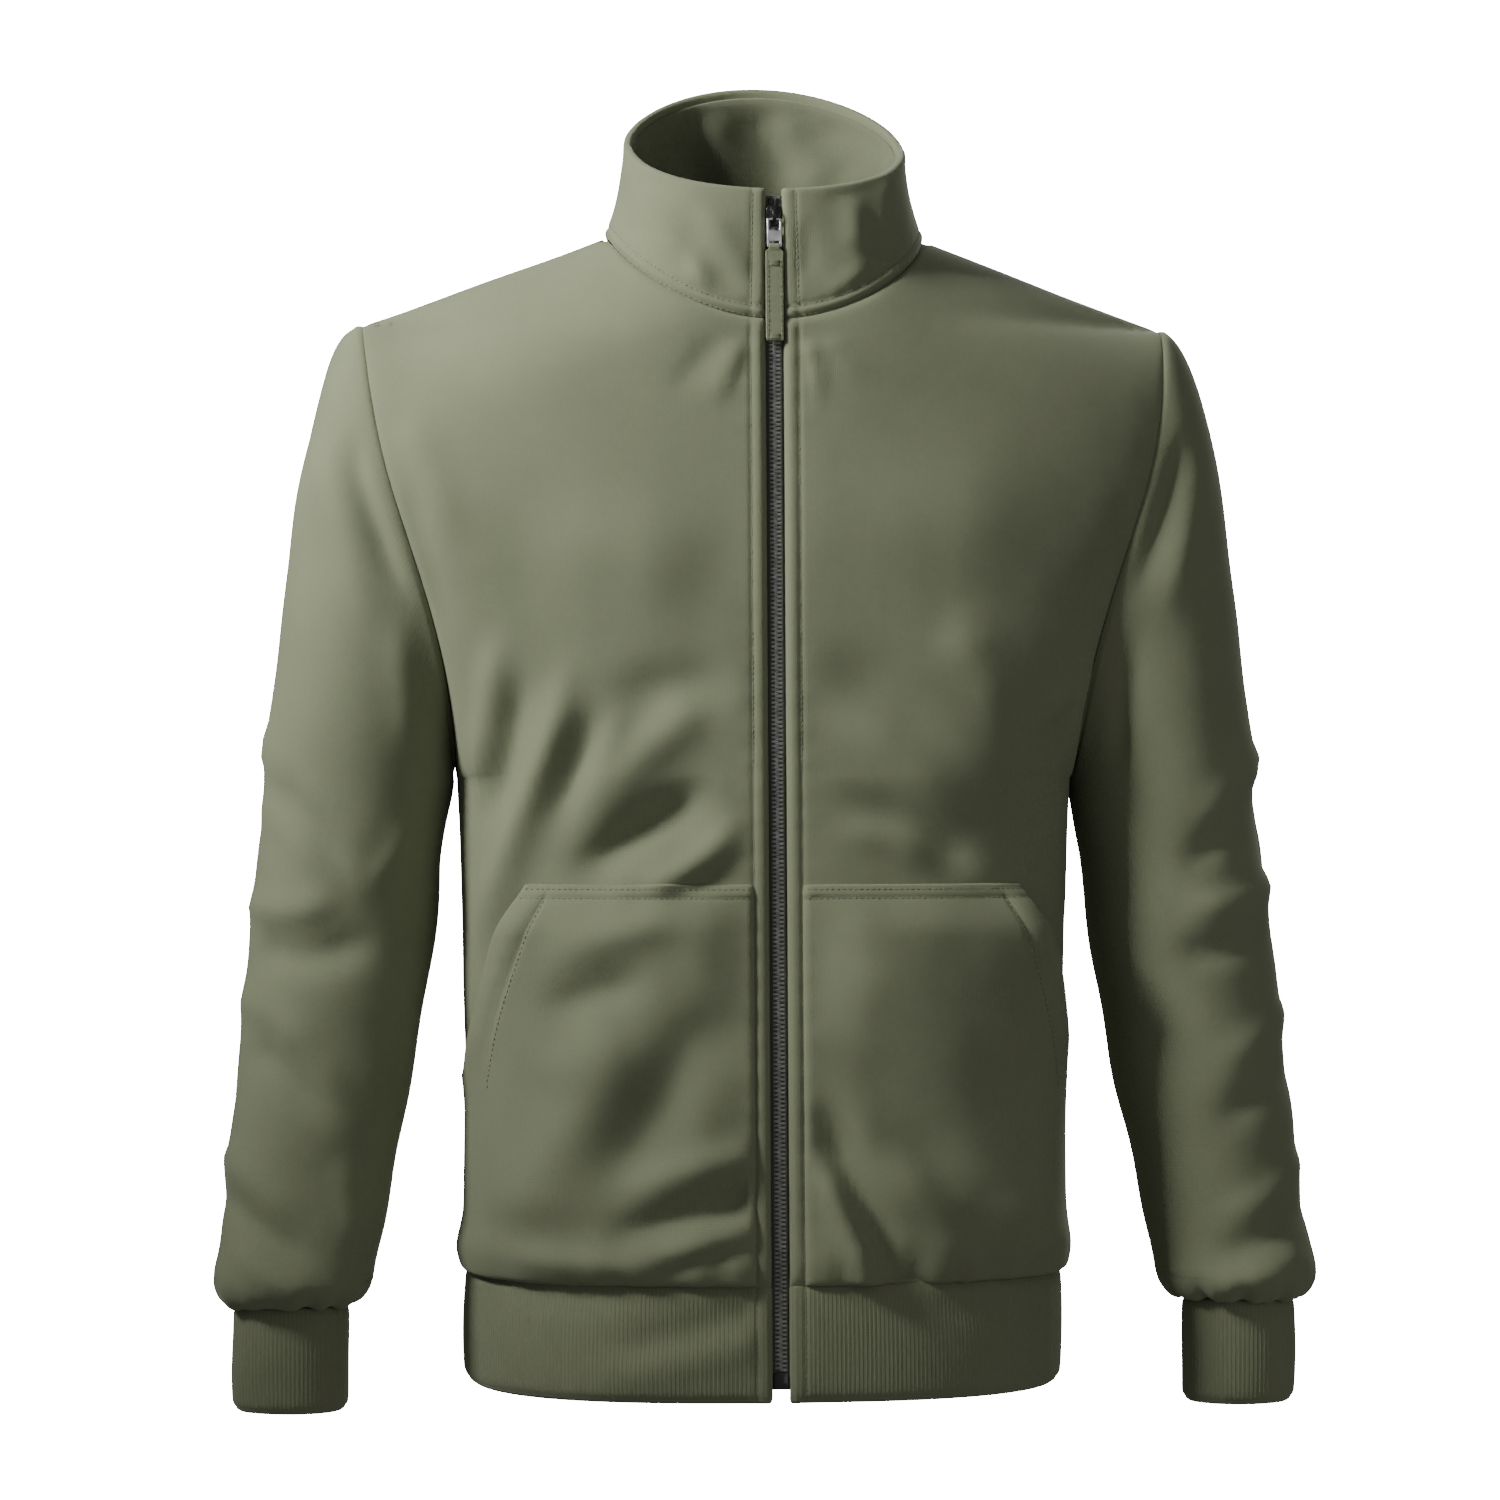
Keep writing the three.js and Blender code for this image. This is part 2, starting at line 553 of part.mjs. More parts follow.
function sleeve(side) {
  const rings = [];
  for (let k = 0; k <= CAP_RINGS; k += 1) rings.push(capRing(k / CAP_RINGS));
  for (let k = 1; k <= ARM_RINGS; k += 1) rings.push(armRing(k / ARM_RINGS));
  for (let k = 1; k <= END_RINGS; k += 1) rings.push(endRing(k / END_RINGS));
  const angles = Array.from({ length: 2 * ARMHOLE_ROWS }, (_, i) => Math.PI * i / ARMHOLE_ROWS);
  const grid = angles.map((angle) => rings.map((ring, j) => {
    const p = ringPoint(ring, angle);
    if (j === 0) p.addScaledVector(armholeFacing, SEAM_GAP / 2);
    p.x *= side;
    return p;
  }));
  const centres = rings.map((ring) => {
    const centre = ring.inner.clone().lerp(ring.outer, 0.5);
    return vec(centre.x * side, ring.y, centre.z);
  });
  const edgeNormal = (i, j, n) => {
    if (j === rings.length - 1) return vec(n.x, n.y, 0).normalize();
    if (j > 0) return n;
    const edge = armholeNormal(angles[i]);
    edge.x *= side;
    return edge;
  };
  return sheet(grid, FLEECE, { closed: true, centreOf: (p, j) => centres[j], edgeNormal });
}

function cuff(side) {
  const levels = [0, 0.5, 1].map((t) => SLEEVE_END_LEVEL - CUFF_HEIGHT * (1 - t));
  const angles = Array.from({ length: 2 * ARMHOLE_ROWS }, (_, i) => Math.PI * i / ARMHOLE_ROWS);
  const grid = angles.map((angle) => levels.map((z) => vec(
    side * (CUFF_CENTRE.x + CUFF_HALF_WIDTH * Math.cos(angle)),
    CUFF_CENTRE.y - CUFF_HALF_DEPTH * Math.sin(angle), z)));
  const centreOf = (p) => vec(side * CUFF_CENTRE.x, CUFF_CENTRE.y, p.z);
  return sheet(grid, RIB, { closed: true, centreOf });
}

// ---------------------------------------------------------------- pockets

// Outer limit of the pocket at a height: the slanted mouth, then the side seam.
function pocketEdgeX(z) {
  const mouth = clamp01((POCKET_TOP_LEVEL - z) / POCKET_MOUTH_DROP);
  return mix(POCKET_TOP_WIDTH, edgeX(z) - 1, mouth);
}

// Room behind the pocket: sewn down on three sides and at the side seam, open along the slanted mouth.
function pocketStandOff(x, share, z) {
  const fromTop = ease((POCKET_TOP_LEVEL - z) / 30);
  const fromBottom = ease((z - HEM_SEAM_LEVEL) / 50);
  const fromMiddle = ease((x - TAPE_OUTER_EDGE) / 36);
  const fromSeam = ease((edgeX(z) - x) / 34);
  const mouth = POCKET_MOUTH_STAND_OFF * ease((share - 0.6) / 0.4);
  return (POCKET_STAND_OFF + mouth) * fromTop * fromBottom * fromMiddle * fromSeam;
}

function pocket(side) {
  const columns = 12;
  const rows = 10;
  const grid = [];
  const room = [];
  for (let i = 0; i <= columns; i += 1) {
    const share = i / columns;
    grid.push([]);
    room.push([]);
    for (let j = 0; j <= rows; j += 1) {
      const z = mix(HEM_SEAM_LEVEL + 2, POCKET_TOP_LEVEL, j / rows);
      const x = mix(TAPE_OUTER_EDGE, pocketEdgeX(z), share);
      grid[i].push(vec(side * x, bodyY(x, z, true) - SEAM_GAP / 2, z));
      const sewn = mix(POCKET_SEWN_GAP, 3 * POCKET_SEWN_GAP, ease((x / edgeX(z) - 0.6) / 0.35));
      room[i].push(pocketStandOff(x, share, z) + sewn + FLEECE);
    }
  }
  const normals = gridNormals(grid, false, bodyCentre);
  const lifted = grid.map((column, i) => column.map((p, j) => (
    p.clone().addScaledVector(normals[i][j], room[i][j]))));
  return sheet(lifted, FLEECE, { centreOf: bodyCentre });
}

// ---------------------------------------------------------------- zip

const zipAngle = -Math.atan(ZIP_SLOPE);
const ZIP_LENGTH = (RIM_FRONT_LEVEL - HEM_LEVEL) / Math.cos(zipAngle);
const TAPE_TOP = -ZIP_TOP_MARGIN;
const TAPE_BOTTOM = -ZIP_LENGTH + ZIP_END_MARGIN;
const TEETH_TOP = -SLIDER_REST_DEPTH + SLIDER_HEIGHT / 2 + HARDWARE_GAP;
const TEETH_BOTTOM = TAPE_BOTTOM + BOX_HEIGHT + HARDWARE_GAP;
const TEETH_MIDDLE_Y = TAPE_FRONT + TAPE_THICKNESS / 2;
const TEETH_FRONT = TEETH_MIDDLE_Y - TEETH_THICKNESS / 2;
const TEETH_BACK = TEETH_MIDDLE_Y + TEETH_THICKNESS / 2;
const TEETH_OUTER_EDGE = TEETH_INNER_EDGE + TEETH_WIDTH;

// Box between two corners.
function block(low, high) {
  const geometry = new THREE.BoxGeometry(high[0] - low[0], high[1] - low[1], high[2] - low[2]);
  geometry.translate((low[0] + high[0]) / 2, (low[1] + high[1]) / 2, (low[2] + high[2]) / 2);
  return geometry;
}

function solidFrom(geometry) {
  const bare = geometry.index ? geometry.clone() : geometry;
  bare.deleteAttribute('normal');
  bare.deleteAttribute('uv');
  const merged = mergeVertices(bare);
  return new wasm.Manifold(new wasm.Mesh({
    numProp: 3,
    vertProperties: new Float32Array(merged.attributes.position.array),
    triVerts: new Uint32Array(merged.index.array),
  }));
}

function geometryOf(solid) {
  const mesh = solid.getMesh();
  const geometry = new THREE.BufferGeometry();
  geometry.setAttribute('position', new THREE.Float32BufferAttribute(mesh.vertProperties, 3));
  geometry.setIndex(Array.from(mesh.triVerts));
  geometry.computeVertexNormals();
  return geometry;
}

const joined = (blocks) => geometryOf(blocks.map(solidFrom).reduce((a, b) => a.add(b)));

function zipTape(side) {
  const inner = TEETH_OUTER_EDGE + HARDWARE_GAP;
  const [a, b] = side > 0 ? [inner, TAPE_OUTER_EDGE] : [-TAPE_OUTER_EDGE, -inner];
  return block([a, TAPE_FRONT, TAPE_BOTTOM], [b, TAPE_FRONT + TAPE_THICKNESS, TAPE_TOP]);
}

// Element beside the middle of the zip, between two heights.
function besideMiddle(side, bottom, top, trim = 0) {
  const [a, b] = [TEETH_INNER_EDGE + trim, TEETH_OUTER_EDGE - trim];
  const low = side > 0 ? a : -b;
  return block([low, TEETH_FRONT + trim, bottom], [low + b - a, TEETH_BACK - trim, top]);
}

const zipTeeth = (side) => besideMiddle(side, TEETH_BOTTOM, TEETH_TOP);

const topStop = (side) => besideMiddle(side, TEETH_TOP + HARDWARE_GAP, TEETH_TOP + HARDWARE_GAP + STOP_HEIGHT);

const insertionPin = () => besideMiddle(1, TEETH_BOTTOM - PIN_LENGTH + BOX_WALL + 6, TEETH_BOTTOM - HARDWARE_GAP, 0.3);

// Box at the foot of the zip, with the socket that the pin drops into.
function retainerBox() {
  const foot = TAPE_BOTTOM;
  const head = TAPE_BOTTOM + BOX_HEIGHT;
  const outside = block([-BOX_HALF_WIDTH, TEETH_FRONT - BOX_WALL, foot], [BOX_HALF_WIDTH, TEETH_BACK + BOX_WALL, head]);
  const socket = block(
    [TEETH_INNER_EDGE, TEETH_FRONT, foot + BOX_WALL], [TEETH_OUTER_EDGE, TEETH_BACK, head + 1]);
  const slot = (side) => {
    const [a, b] = side > 0 ? [TEETH_OUTER_EDGE - 0.5, BOX_HALF_WIDTH + 1] : [-BOX_HALF_WIDTH - 1, -TEETH_OUTER_EDGE];
    return block([a, TAPE_FRONT - HARDWARE_GAP, foot - 1], [b, TAPE_FRONT + TAPE_THICKNESS + HARDWARE_GAP, head + 1]);
  };
  const cuts = [socket, slot(1), slot(-1)].map(solidFrom);
  return geometryOf(cuts.reduce((body, cut) => body.subtract(cut), solidFrom(outside)));
}

const SLIDER_MIDDLE = -SLIDER_REST_DEPTH;
const SLIDER_FRONT = TEETH_FRONT - HARDWARE_GAP - SLIDER_PLATE;
const PULL_AXIS = {
  y: SLIDER_FRONT - BRIDGE_RISE / 2 + BRIDGE_BAR / 2,
  z: SLIDER_MIDDLE - BRIDGE_LENGTH / 2 + BRIDGE_BAR + HARDWARE_GAP + BRIDGE_BAR / 2,
};

// Slider: two plates joined by a post between the rows of teeth, side flanges, and a bridge for the pull.
function slider() {
  const low = SLIDER_MIDDLE - SLIDER_HEIGHT / 2;
  const high = SLIDER_MIDDLE + SLIDER_HEIGHT / 2;
  const back = TEETH_BACK + HARDWARE_GAP;
  const front = TEETH_FRONT - HARDWARE_GAP;
  const parts = [
    block([-SLIDER_HALF_WIDTH, SLIDER_FRONT, low], [SLIDER_HALF_WIDTH, front, high]),
    block([-SLIDER_HALF_WIDTH, back, low], [SLIDER_HALF_WIDTH, back + SLIDER_PLATE, high]),
    block([-SLIDER_POST_HALF_WIDTH, front - 0.2, high - 5], [SLIDER_POST_HALF_WIDTH, back + 0.2, high]),
  ];
  for (const x of [-SLIDER_HALF_WIDTH, SLIDER_HALF_WIDTH - SLIDER_FLANGE]) {
    parts.push(block([x, front - 0.2, low], [x + SLIDER_FLANGE, TAPE_FRONT - HARDWARE_GAP, high]));
    const tapeBack = TAPE_FRONT + TAPE_THICKNESS + HARDWARE_GAP;
    parts.push(block([x, tapeBack, low], [x + SLIDER_FLANGE, back + 0.2, high]));
  }
  const bridgeLow = SLIDER_MIDDLE - BRIDGE_LENGTH / 2;
  const bridgeHigh = SLIDER_MIDDLE + BRIDGE_LENGTH / 2;
  const crown = SLIDER_FRONT - BRIDGE_RISE;
  parts.push(block([-BRIDGE_HALF_WIDTH, crown, bridgeLow], [BRIDGE_HALF_WIDTH, crown + BRIDGE_BAR, bridgeHigh]));
  for (const z of [bridgeLow, bridgeHigh - BRIDGE_BAR]) {
    const leg = block([-BRIDGE_HALF_WIDTH, crown + 0.2, z], [BRIDGE_HALF_WIDTH, SLIDER_FRONT + 0.2, z + BRIDGE_BAR]);
    parts.push(leg);
  }
  return joined(parts);
}

// Metal pull: two rails, a bar under the slider's bridge and a bar for the cloth strap.
function pull() {
  const half = BRIDGE_BAR / 2;
  const front = PULL_AXIS.y - half;
  const back = PULL_AXIS.y + half;
  const foot = PULL_AXIS.z - PULL_LENGTH;
  const head = PULL_AXIS.z + half;
  const waist = mix(head, foot, 0.5);
  const edge = PULL_WIDTH / 2;
  const parts = [
    block([-edge, front, PULL_AXIS.z - half], [edge, back, head]),
    block([-edge, front, foot], [edge, front + PULL_THICKNESS, foot + BRIDGE_BAR]),
    block([-edge, front, waist - PULL_RAIL], [edge, front + PULL_THICKNESS, waist]),
    block([-edge, front, foot], [-edge + PULL_RAIL, front + PULL_THICKNESS, head]),
    block([edge - PULL_RAIL, front, foot], [edge, front + PULL_THICKNESS, head]),
  ];
  return joined(parts);
}

const STRAP_AXIS = { y: PULL_AXIS.y, z: PULL_AXIS.z - PULL_LENGTH + BRIDGE_BAR / 2 };

// Cloth strap folded round the pull's lower bar and sewn to itself below it.
function strap() {
  const loop = BRIDGE_BAR / 2 + HARDWARE_GAP;
  const half = loop + STRAP_LAYER;
  const neck = STRAP_NECK_WIDTH / 2;
  const { y, z } = STRAP_AXIS;
  const neckBlock = block([-neck, y - half, z - 4.5], [neck, y + half, z + half]);
  const eye = block([-neck - 1, y - loop, z - loop], [neck + 1, y + loop, z + loop]);
  const tail = block([-STRAP_WIDTH / 2, y - STRAP_LAYER, z - STRAP_LENGTH], [STRAP_WIDTH / 2, y + STRAP_LAYER, z - 3]);
  return geometryOf(solidFrom(neckBlock).subtract(solidFrom(eye)).add(solidFrom(tail)));
}

// ---------------------------------------------------------------- assembly

const jacket = new THREE.Group();

function place(parent, name, geometry, look) {
  const mesh = new THREE.Mesh(geometry, new THREE.MeshStandardMaterial(look));
  mesh.name = name;
  parent.add(mesh);
}

place(jacket, 'back_panel', backPanel(), COLOURS.fleece);
place(jacket, 'waistband', waistband(), COLOURS.rib);
place(jacket, 'collar_outer', collarOuter(), COLOURS.fleece);
place(jacket, 'collar_inner', collarInner(), COLOURS.facing);
place(jacket, 'neck_tape', neckTape(), COLOURS.facing);

const zip = new THREE.Group();
zip.position.set(0, -ZIP_TOP_DEPTH, RIM_FRONT_LEVEL);
zip.rotation.x = zipAngle;
jacket.add(zip);

for (const [hand, side] of [['left', 1], ['right', -1]]) {
  place(jacket, `front_panel_${hand}`, frontPanel(side), COLOURS.fleece);
  place(jacket, `sleeve_${hand}`, sleeve(side), COLOURS.fleece);
  place(jacket, `cuff_${hand}`, cuff(side), COLOURS.rib);
  place(jacket, `pocket_${hand}`, pocket(side), COLOURS.fleece);
  place(zip, `zip_tape_${hand}`, zipTape(side), COLOURS.tape);
  place(zip, `zip_teeth_${hand}`, zipTeeth(side), COLOURS.teeth);
  place(zip, `top_stop_${hand}`, topStop(side), COLOURS.dark);
}
place(zip, 'insertion_pin', insertionPin(), COLOURS.dark);
place(zip, 'retainer_box', retainerBox(), COLOURS.dark);
place(zip, 'zip_slider', slider(), COLOURS.dark);
place(zip, 'zip_pull', pull(), COLOURS.metal);
place(zip, 'pull_strap', strap(), COLOURS.fleece);

export default jacket;
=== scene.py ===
"""Full-zip sweatshirt jacket: cloth, seams, ribs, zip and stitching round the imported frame.

Shapes are worked out in millimetres and turned into metres when a mesh is made.
"""
import math

import bpy
import numpy as np
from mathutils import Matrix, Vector


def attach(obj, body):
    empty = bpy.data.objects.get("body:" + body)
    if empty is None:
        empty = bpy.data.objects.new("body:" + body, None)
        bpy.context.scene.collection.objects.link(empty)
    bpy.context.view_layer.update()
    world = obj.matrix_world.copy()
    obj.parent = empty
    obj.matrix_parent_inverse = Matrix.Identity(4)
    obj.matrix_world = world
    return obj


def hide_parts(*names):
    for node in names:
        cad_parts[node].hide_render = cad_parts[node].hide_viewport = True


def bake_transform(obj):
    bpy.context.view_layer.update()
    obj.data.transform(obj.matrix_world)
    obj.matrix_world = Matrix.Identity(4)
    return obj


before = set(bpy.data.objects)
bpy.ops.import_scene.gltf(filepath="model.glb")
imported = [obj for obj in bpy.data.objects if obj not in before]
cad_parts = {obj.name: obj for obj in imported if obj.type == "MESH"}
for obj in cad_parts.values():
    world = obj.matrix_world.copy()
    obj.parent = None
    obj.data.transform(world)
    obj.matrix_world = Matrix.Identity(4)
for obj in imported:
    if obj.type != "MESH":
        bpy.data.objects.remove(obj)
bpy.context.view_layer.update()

# ---------------------------------------------------------------- camera and light

CAMERA_TURN = math.radians(4.6)
CAMERA_DISTANCE = 3.0
CAMERA_LEVEL = -0.316

camera_data = bpy.data.cameras.new("camera")
camera_data.lens = 116.1
camera_data.sensor_width = 36
camera_data.clip_end = 30
camera = bpy.data.objects.new("camera", camera_data)
bpy.context.scene.collection.objects.link(camera)
right = Vector((math.cos(CAMERA_TURN), -math.sin(CAMERA_TURN), 0))
forward = Vector((math.sin(CAMERA_TURN), math.cos(CAMERA_TURN), 0))
aim = Vector((0, 0, CAMERA_LEVEL)) - right * 0.0074
camera.location = aim - forward * CAMERA_DISTANCE
camera.rotation_euler = forward.to_track_quat("-Z", "Y").to_euler()
bpy.context.scene.camera = camera


def area_light(name, place, aim_at, size, power, spread=180):
    data = bpy.data.lights.new(name, "AREA")
    data.shape = "RECTANGLE"
    data.size, data.size_y = size
    data.energy = power
    data.spread = math.radians(spread)
    lamp = bpy.data.objects.new(name, data)
    bpy.context.scene.collection.objects.link(lamp)
    lamp.location = place
    lamp.rotation_euler = (Vector(aim_at) - Vector(place)).to_track_quat("-Z", "Y").to_euler()


area_light("key", (-1.7, -0.72, 0.95), (-0.17, 0, 0.02), (0.5, 0.5), 5.9, 46)
area_light("fill", (1.45, -2.7, -0.3), (0.06, 0, -0.5), (1.6, 1.6), 10.5)
area_light("rear", (1.3, 2.3, 1.0), (0, 0.1, -0.25), (1.2, 1.2), 34)

world = bpy.data.worlds.new("world")
world.use_nodes = True
ambient = world.node_tree.nodes["Background"]
ambient.inputs[0].default_value = (1, 1, 1, 1)
ambient.inputs[1].default_value = 0.125
seen = world.node_tree.nodes.new("ShaderNodeBackground")
seen.inputs[0].default_value = (1, 1, 1, 1)
seen.inputs[1].default_value = 30
ray = world.node_tree.nodes.new("ShaderNodeLightPath")
choice = world.node_tree.nodes.new("ShaderNodeMixShader")
for k, output in enumerate((ray.outputs["Is Camera Ray"], ambient.outputs[0], seen.outputs[0])):
    world.node_tree.links.new(output, choice.inputs[k])
world.node_tree.links.new(choice.outputs[0], world.node_tree.nodes["World Output"].inputs[0])
bpy.context.scene.world = world

# ---------------------------------------------------------------- small maths

def clamp(t):
    return np.clip(t, 0, 1)


def smooth(t):
    t = clamp(t)
    return t * t * (3 - 2 * t)


def mix(a, b, t):
    return a + (b - a) * t


def unit(v):
    return v / np.maximum(np.linalg.norm(v, axis=-1, keepdims=True), 1e-9)


def mirrored(p, n, side):
    """Turn the wearer's left into their right where side is -1."""
    p[..., 0] *= side
    n[..., 0] *= side


def merged(*groups):
    """Sorted positions from several lists, with near repeats left out."""
    values = np.unique(np.round(np.concatenate([np.atleast_1d(np.asarray(g, float)) for g in groups]), 4))
    keep = [values[0]]
    for v in values[1:]:
        if v - keep[-1] > 0.25:
            keep.append(v)
    keep[-1] = values[-1]
    return np.array(keep)


# ---------------------------------------------------------------- the jacket's shape, as in the frame

MILLIMETRE = 0.001
SHOULDER_X, SHOULDER_Z = 247.0, -55.0
UNDERARM_X, UNDERARM_Z = 190.0, -333.0
HEM, HEM_SEAM = -701.0, -634.0
SEAM_Y = -5.0
NECK_X = 98.0
ZIP_EDGE = 6.5
ARMHOLE = SHOULDER_Z - UNDERARM_Z
ZIP_TOP_Y, ZIP_TOP_Z, ZIP_SLOPE = -88, 20, 0.075
TOPSTITCH = 8.1


def zip_depth(z):
    return -ZIP_TOP_Y + (ZIP_TOP_Z - z) * ZIP_SLOPE


def back_depth(z):
    heights = np.array([HEM, mix(HEM, UNDERARM_Z, 0.55), mix(UNDERARM_Z, SHOULDER_Z, 0.45), 55.0])
    values = np.array([118.0, 113.0, 130.0, 112.0])
    slopes = np.array([(values[min(k + 1, 3)] - values[max(k - 1, 0)])
                       / (heights[min(k + 1, 3)] - heights[max(k - 1, 0)]) for k in range(4)])
    i = np.clip(np.searchsorted(heights, z) - 1, 0, 2)
    span = heights[i + 1] - heights[i]
    t = clamp((z - heights[i]) / span)
    return (mix(values[i], values[i + 1], t * t * (3 - 2 * t))
            + span * t * (1 - t) * ((1 - t) * slopes[i] - t * slopes[i + 1]))


def shoulder_line(x):
    inside = 28 * (1 - np.minimum(x / NECK_X, 1) ** 1.6)
    return np.where(x < NECK_X, inside, SHOULDER_Z * (x - NECK_X) / (SHOULDER_X - NECK_X))


def edge_x(z):
    t = clamp((SHOULDER_Z - z) / ARMHOLE)
    f = clamp((z - HEM_SEAM) / (UNDERARM_Z - HEM_SEAM))
    arm = mix(SHOULDER_X, UNDERARM_X, t) + 5 * np.sin(2 * np.pi * t)
    return np.where(z >= SHOULDER_Z, SHOULDER_X, np.where(z > UNDERARM_Z, arm, mix(183.0, 190.0, f ** 1.8)))


def body_y(x, z, front):
    middle = (zip_depth(z) - 5) if front else (back_depth(z) + 5)
    below = clamp((shoulder_line(x) - z) / 80)
    top = np.sqrt(np.maximum(0, 1 - (1 - below) ** 2))
    t = clamp((SHOULDER_Z - z) / ARMHOLE)
    edge = (64 if front else 60) * np.sqrt(np.maximum(0, 1 - (1 - 2 * t) ** 2))
    u = clamp(x / edge_x(z))
    fall = mix(2.6, 1.1, smooth((z - UNDERARM_Z) / (ARMHOLE * 0.43)))
    across = np.maximum(0, 1 - u ** 2.6) ** (1 / fall)
    depth = edge + (middle * top - edge) * across
    return SEAM_Y + (-depth if front else depth)


def neck_z(angle):
    cos = np.cos(angle)
    front = -57 * (1 + cos - np.sin(angle) ** 2) / 2
    reach = 75 * np.abs(cos) ** 0.8 / 117
    back = shoulder_line(98 * np.abs(np.sin(angle))) - 80 * (1 - np.sqrt(1 - reach ** 2))
    return np.where(cos >= 0, front, back)


def neck_point(angle):
    x = NECK_X * np.sin(angle)
    z = neck_z(angle)
    y = np.where(np.cos(angle) >= 0, body_y(np.abs(x), z, True), body_y(np.abs(x), z, False))
    return np.stack([x, y, z], -1)


def collar_point(angle, height):
    base = neck_point(angle)
    sin, cos = np.sin(angle), np.cos(angle)
    bulge = np.maximum(0, 1 - np.abs(sin) ** 2.6) ** (1 / 2.6)
    rim = np.stack([87 * sin, -14 - 74 * np.where(cos >= 0, bulge, cos), 59.5 - 39.5 * cos - 5.5 * sin ** 2], -1)
    p = base + (rim - base) * height[..., None]
    p[..., 0] *= 1 - 0.02 * np.sin(np.pi * height) * sin ** 2
    return p


# ---------------------------------------------------------------- folds

def spine(points, count=36):
    """Even samples of a smooth curve through the points, with its directions."""
    p = np.array(points, float)
    if len(p) == 2:
        p = np.array([p[0], (p[0] + p[1]) / 2, p[1]])
    t = np.linspace(0, 1, len(p))
    s = np.linspace(0, 1, count)
    fit = np.stack([np.polyval(np.polyfit(t, p[:, k], len(p) - 1), s) for k in (0, 1)], -1)
    return fit, unit(np.gradient(fit, axis=0))


def fold(a, b, points, height, width, other=None, ends=(0.3, 0.3)):
    """A ridge (or valley, if height is below 0) along a curve: its own width on each side, fading at its ends."""
    other = other or width
    s, d = spine(points)
    shape = a.shape
    q = np.stack([a.ravel(), b.ravel()], -1)
    reach = 3.2 * max(width, other)
    near = ((q > s.min(0) - reach) & (q < s.max(0) + reach)).all(1)
    out = np.zeros(len(q))
    if near.any():
        w = q[near]
        gap = w[:, None, :] - s[None]
        k = (gap ** 2).sum(-1).argmin(1)
        off = w - s[k]
        along = (off * d[k]).sum(-1)
        side = off[:, 0] * -d[k][:, 1] + off[:, 1] * d[k][:, 0]
        step = np.linalg.norm(s[1:] - s[:-1], axis=1).mean()
        t = (k + along / step) / (len(s) - 1)
        fade = smooth(t / ends[0]) * smooth((1 - t) / ends[1])
        spread = np.where(side > 0, width, other)
        out[near] = height * np.exp(-(side / spread) ** 2) * fade
    return out.reshape(shape)


def waves(a, b, seed, length, height, count=9):
    """Gentle irregular swell of about that wavelength."""
    r = np.random.default_rng(seed)
    total = 0
    for _ in range(count):
        turn = r.uniform(0, 2 * np.pi)
        k = 2 * np.pi / (length * r.uniform(0.7, 1.6))
        total = total + np.sin((a * math.cos(turn) + b * math.sin(turn)) * k + r.uniform(0, 6.28))
    return total * height / math.sqrt(count)


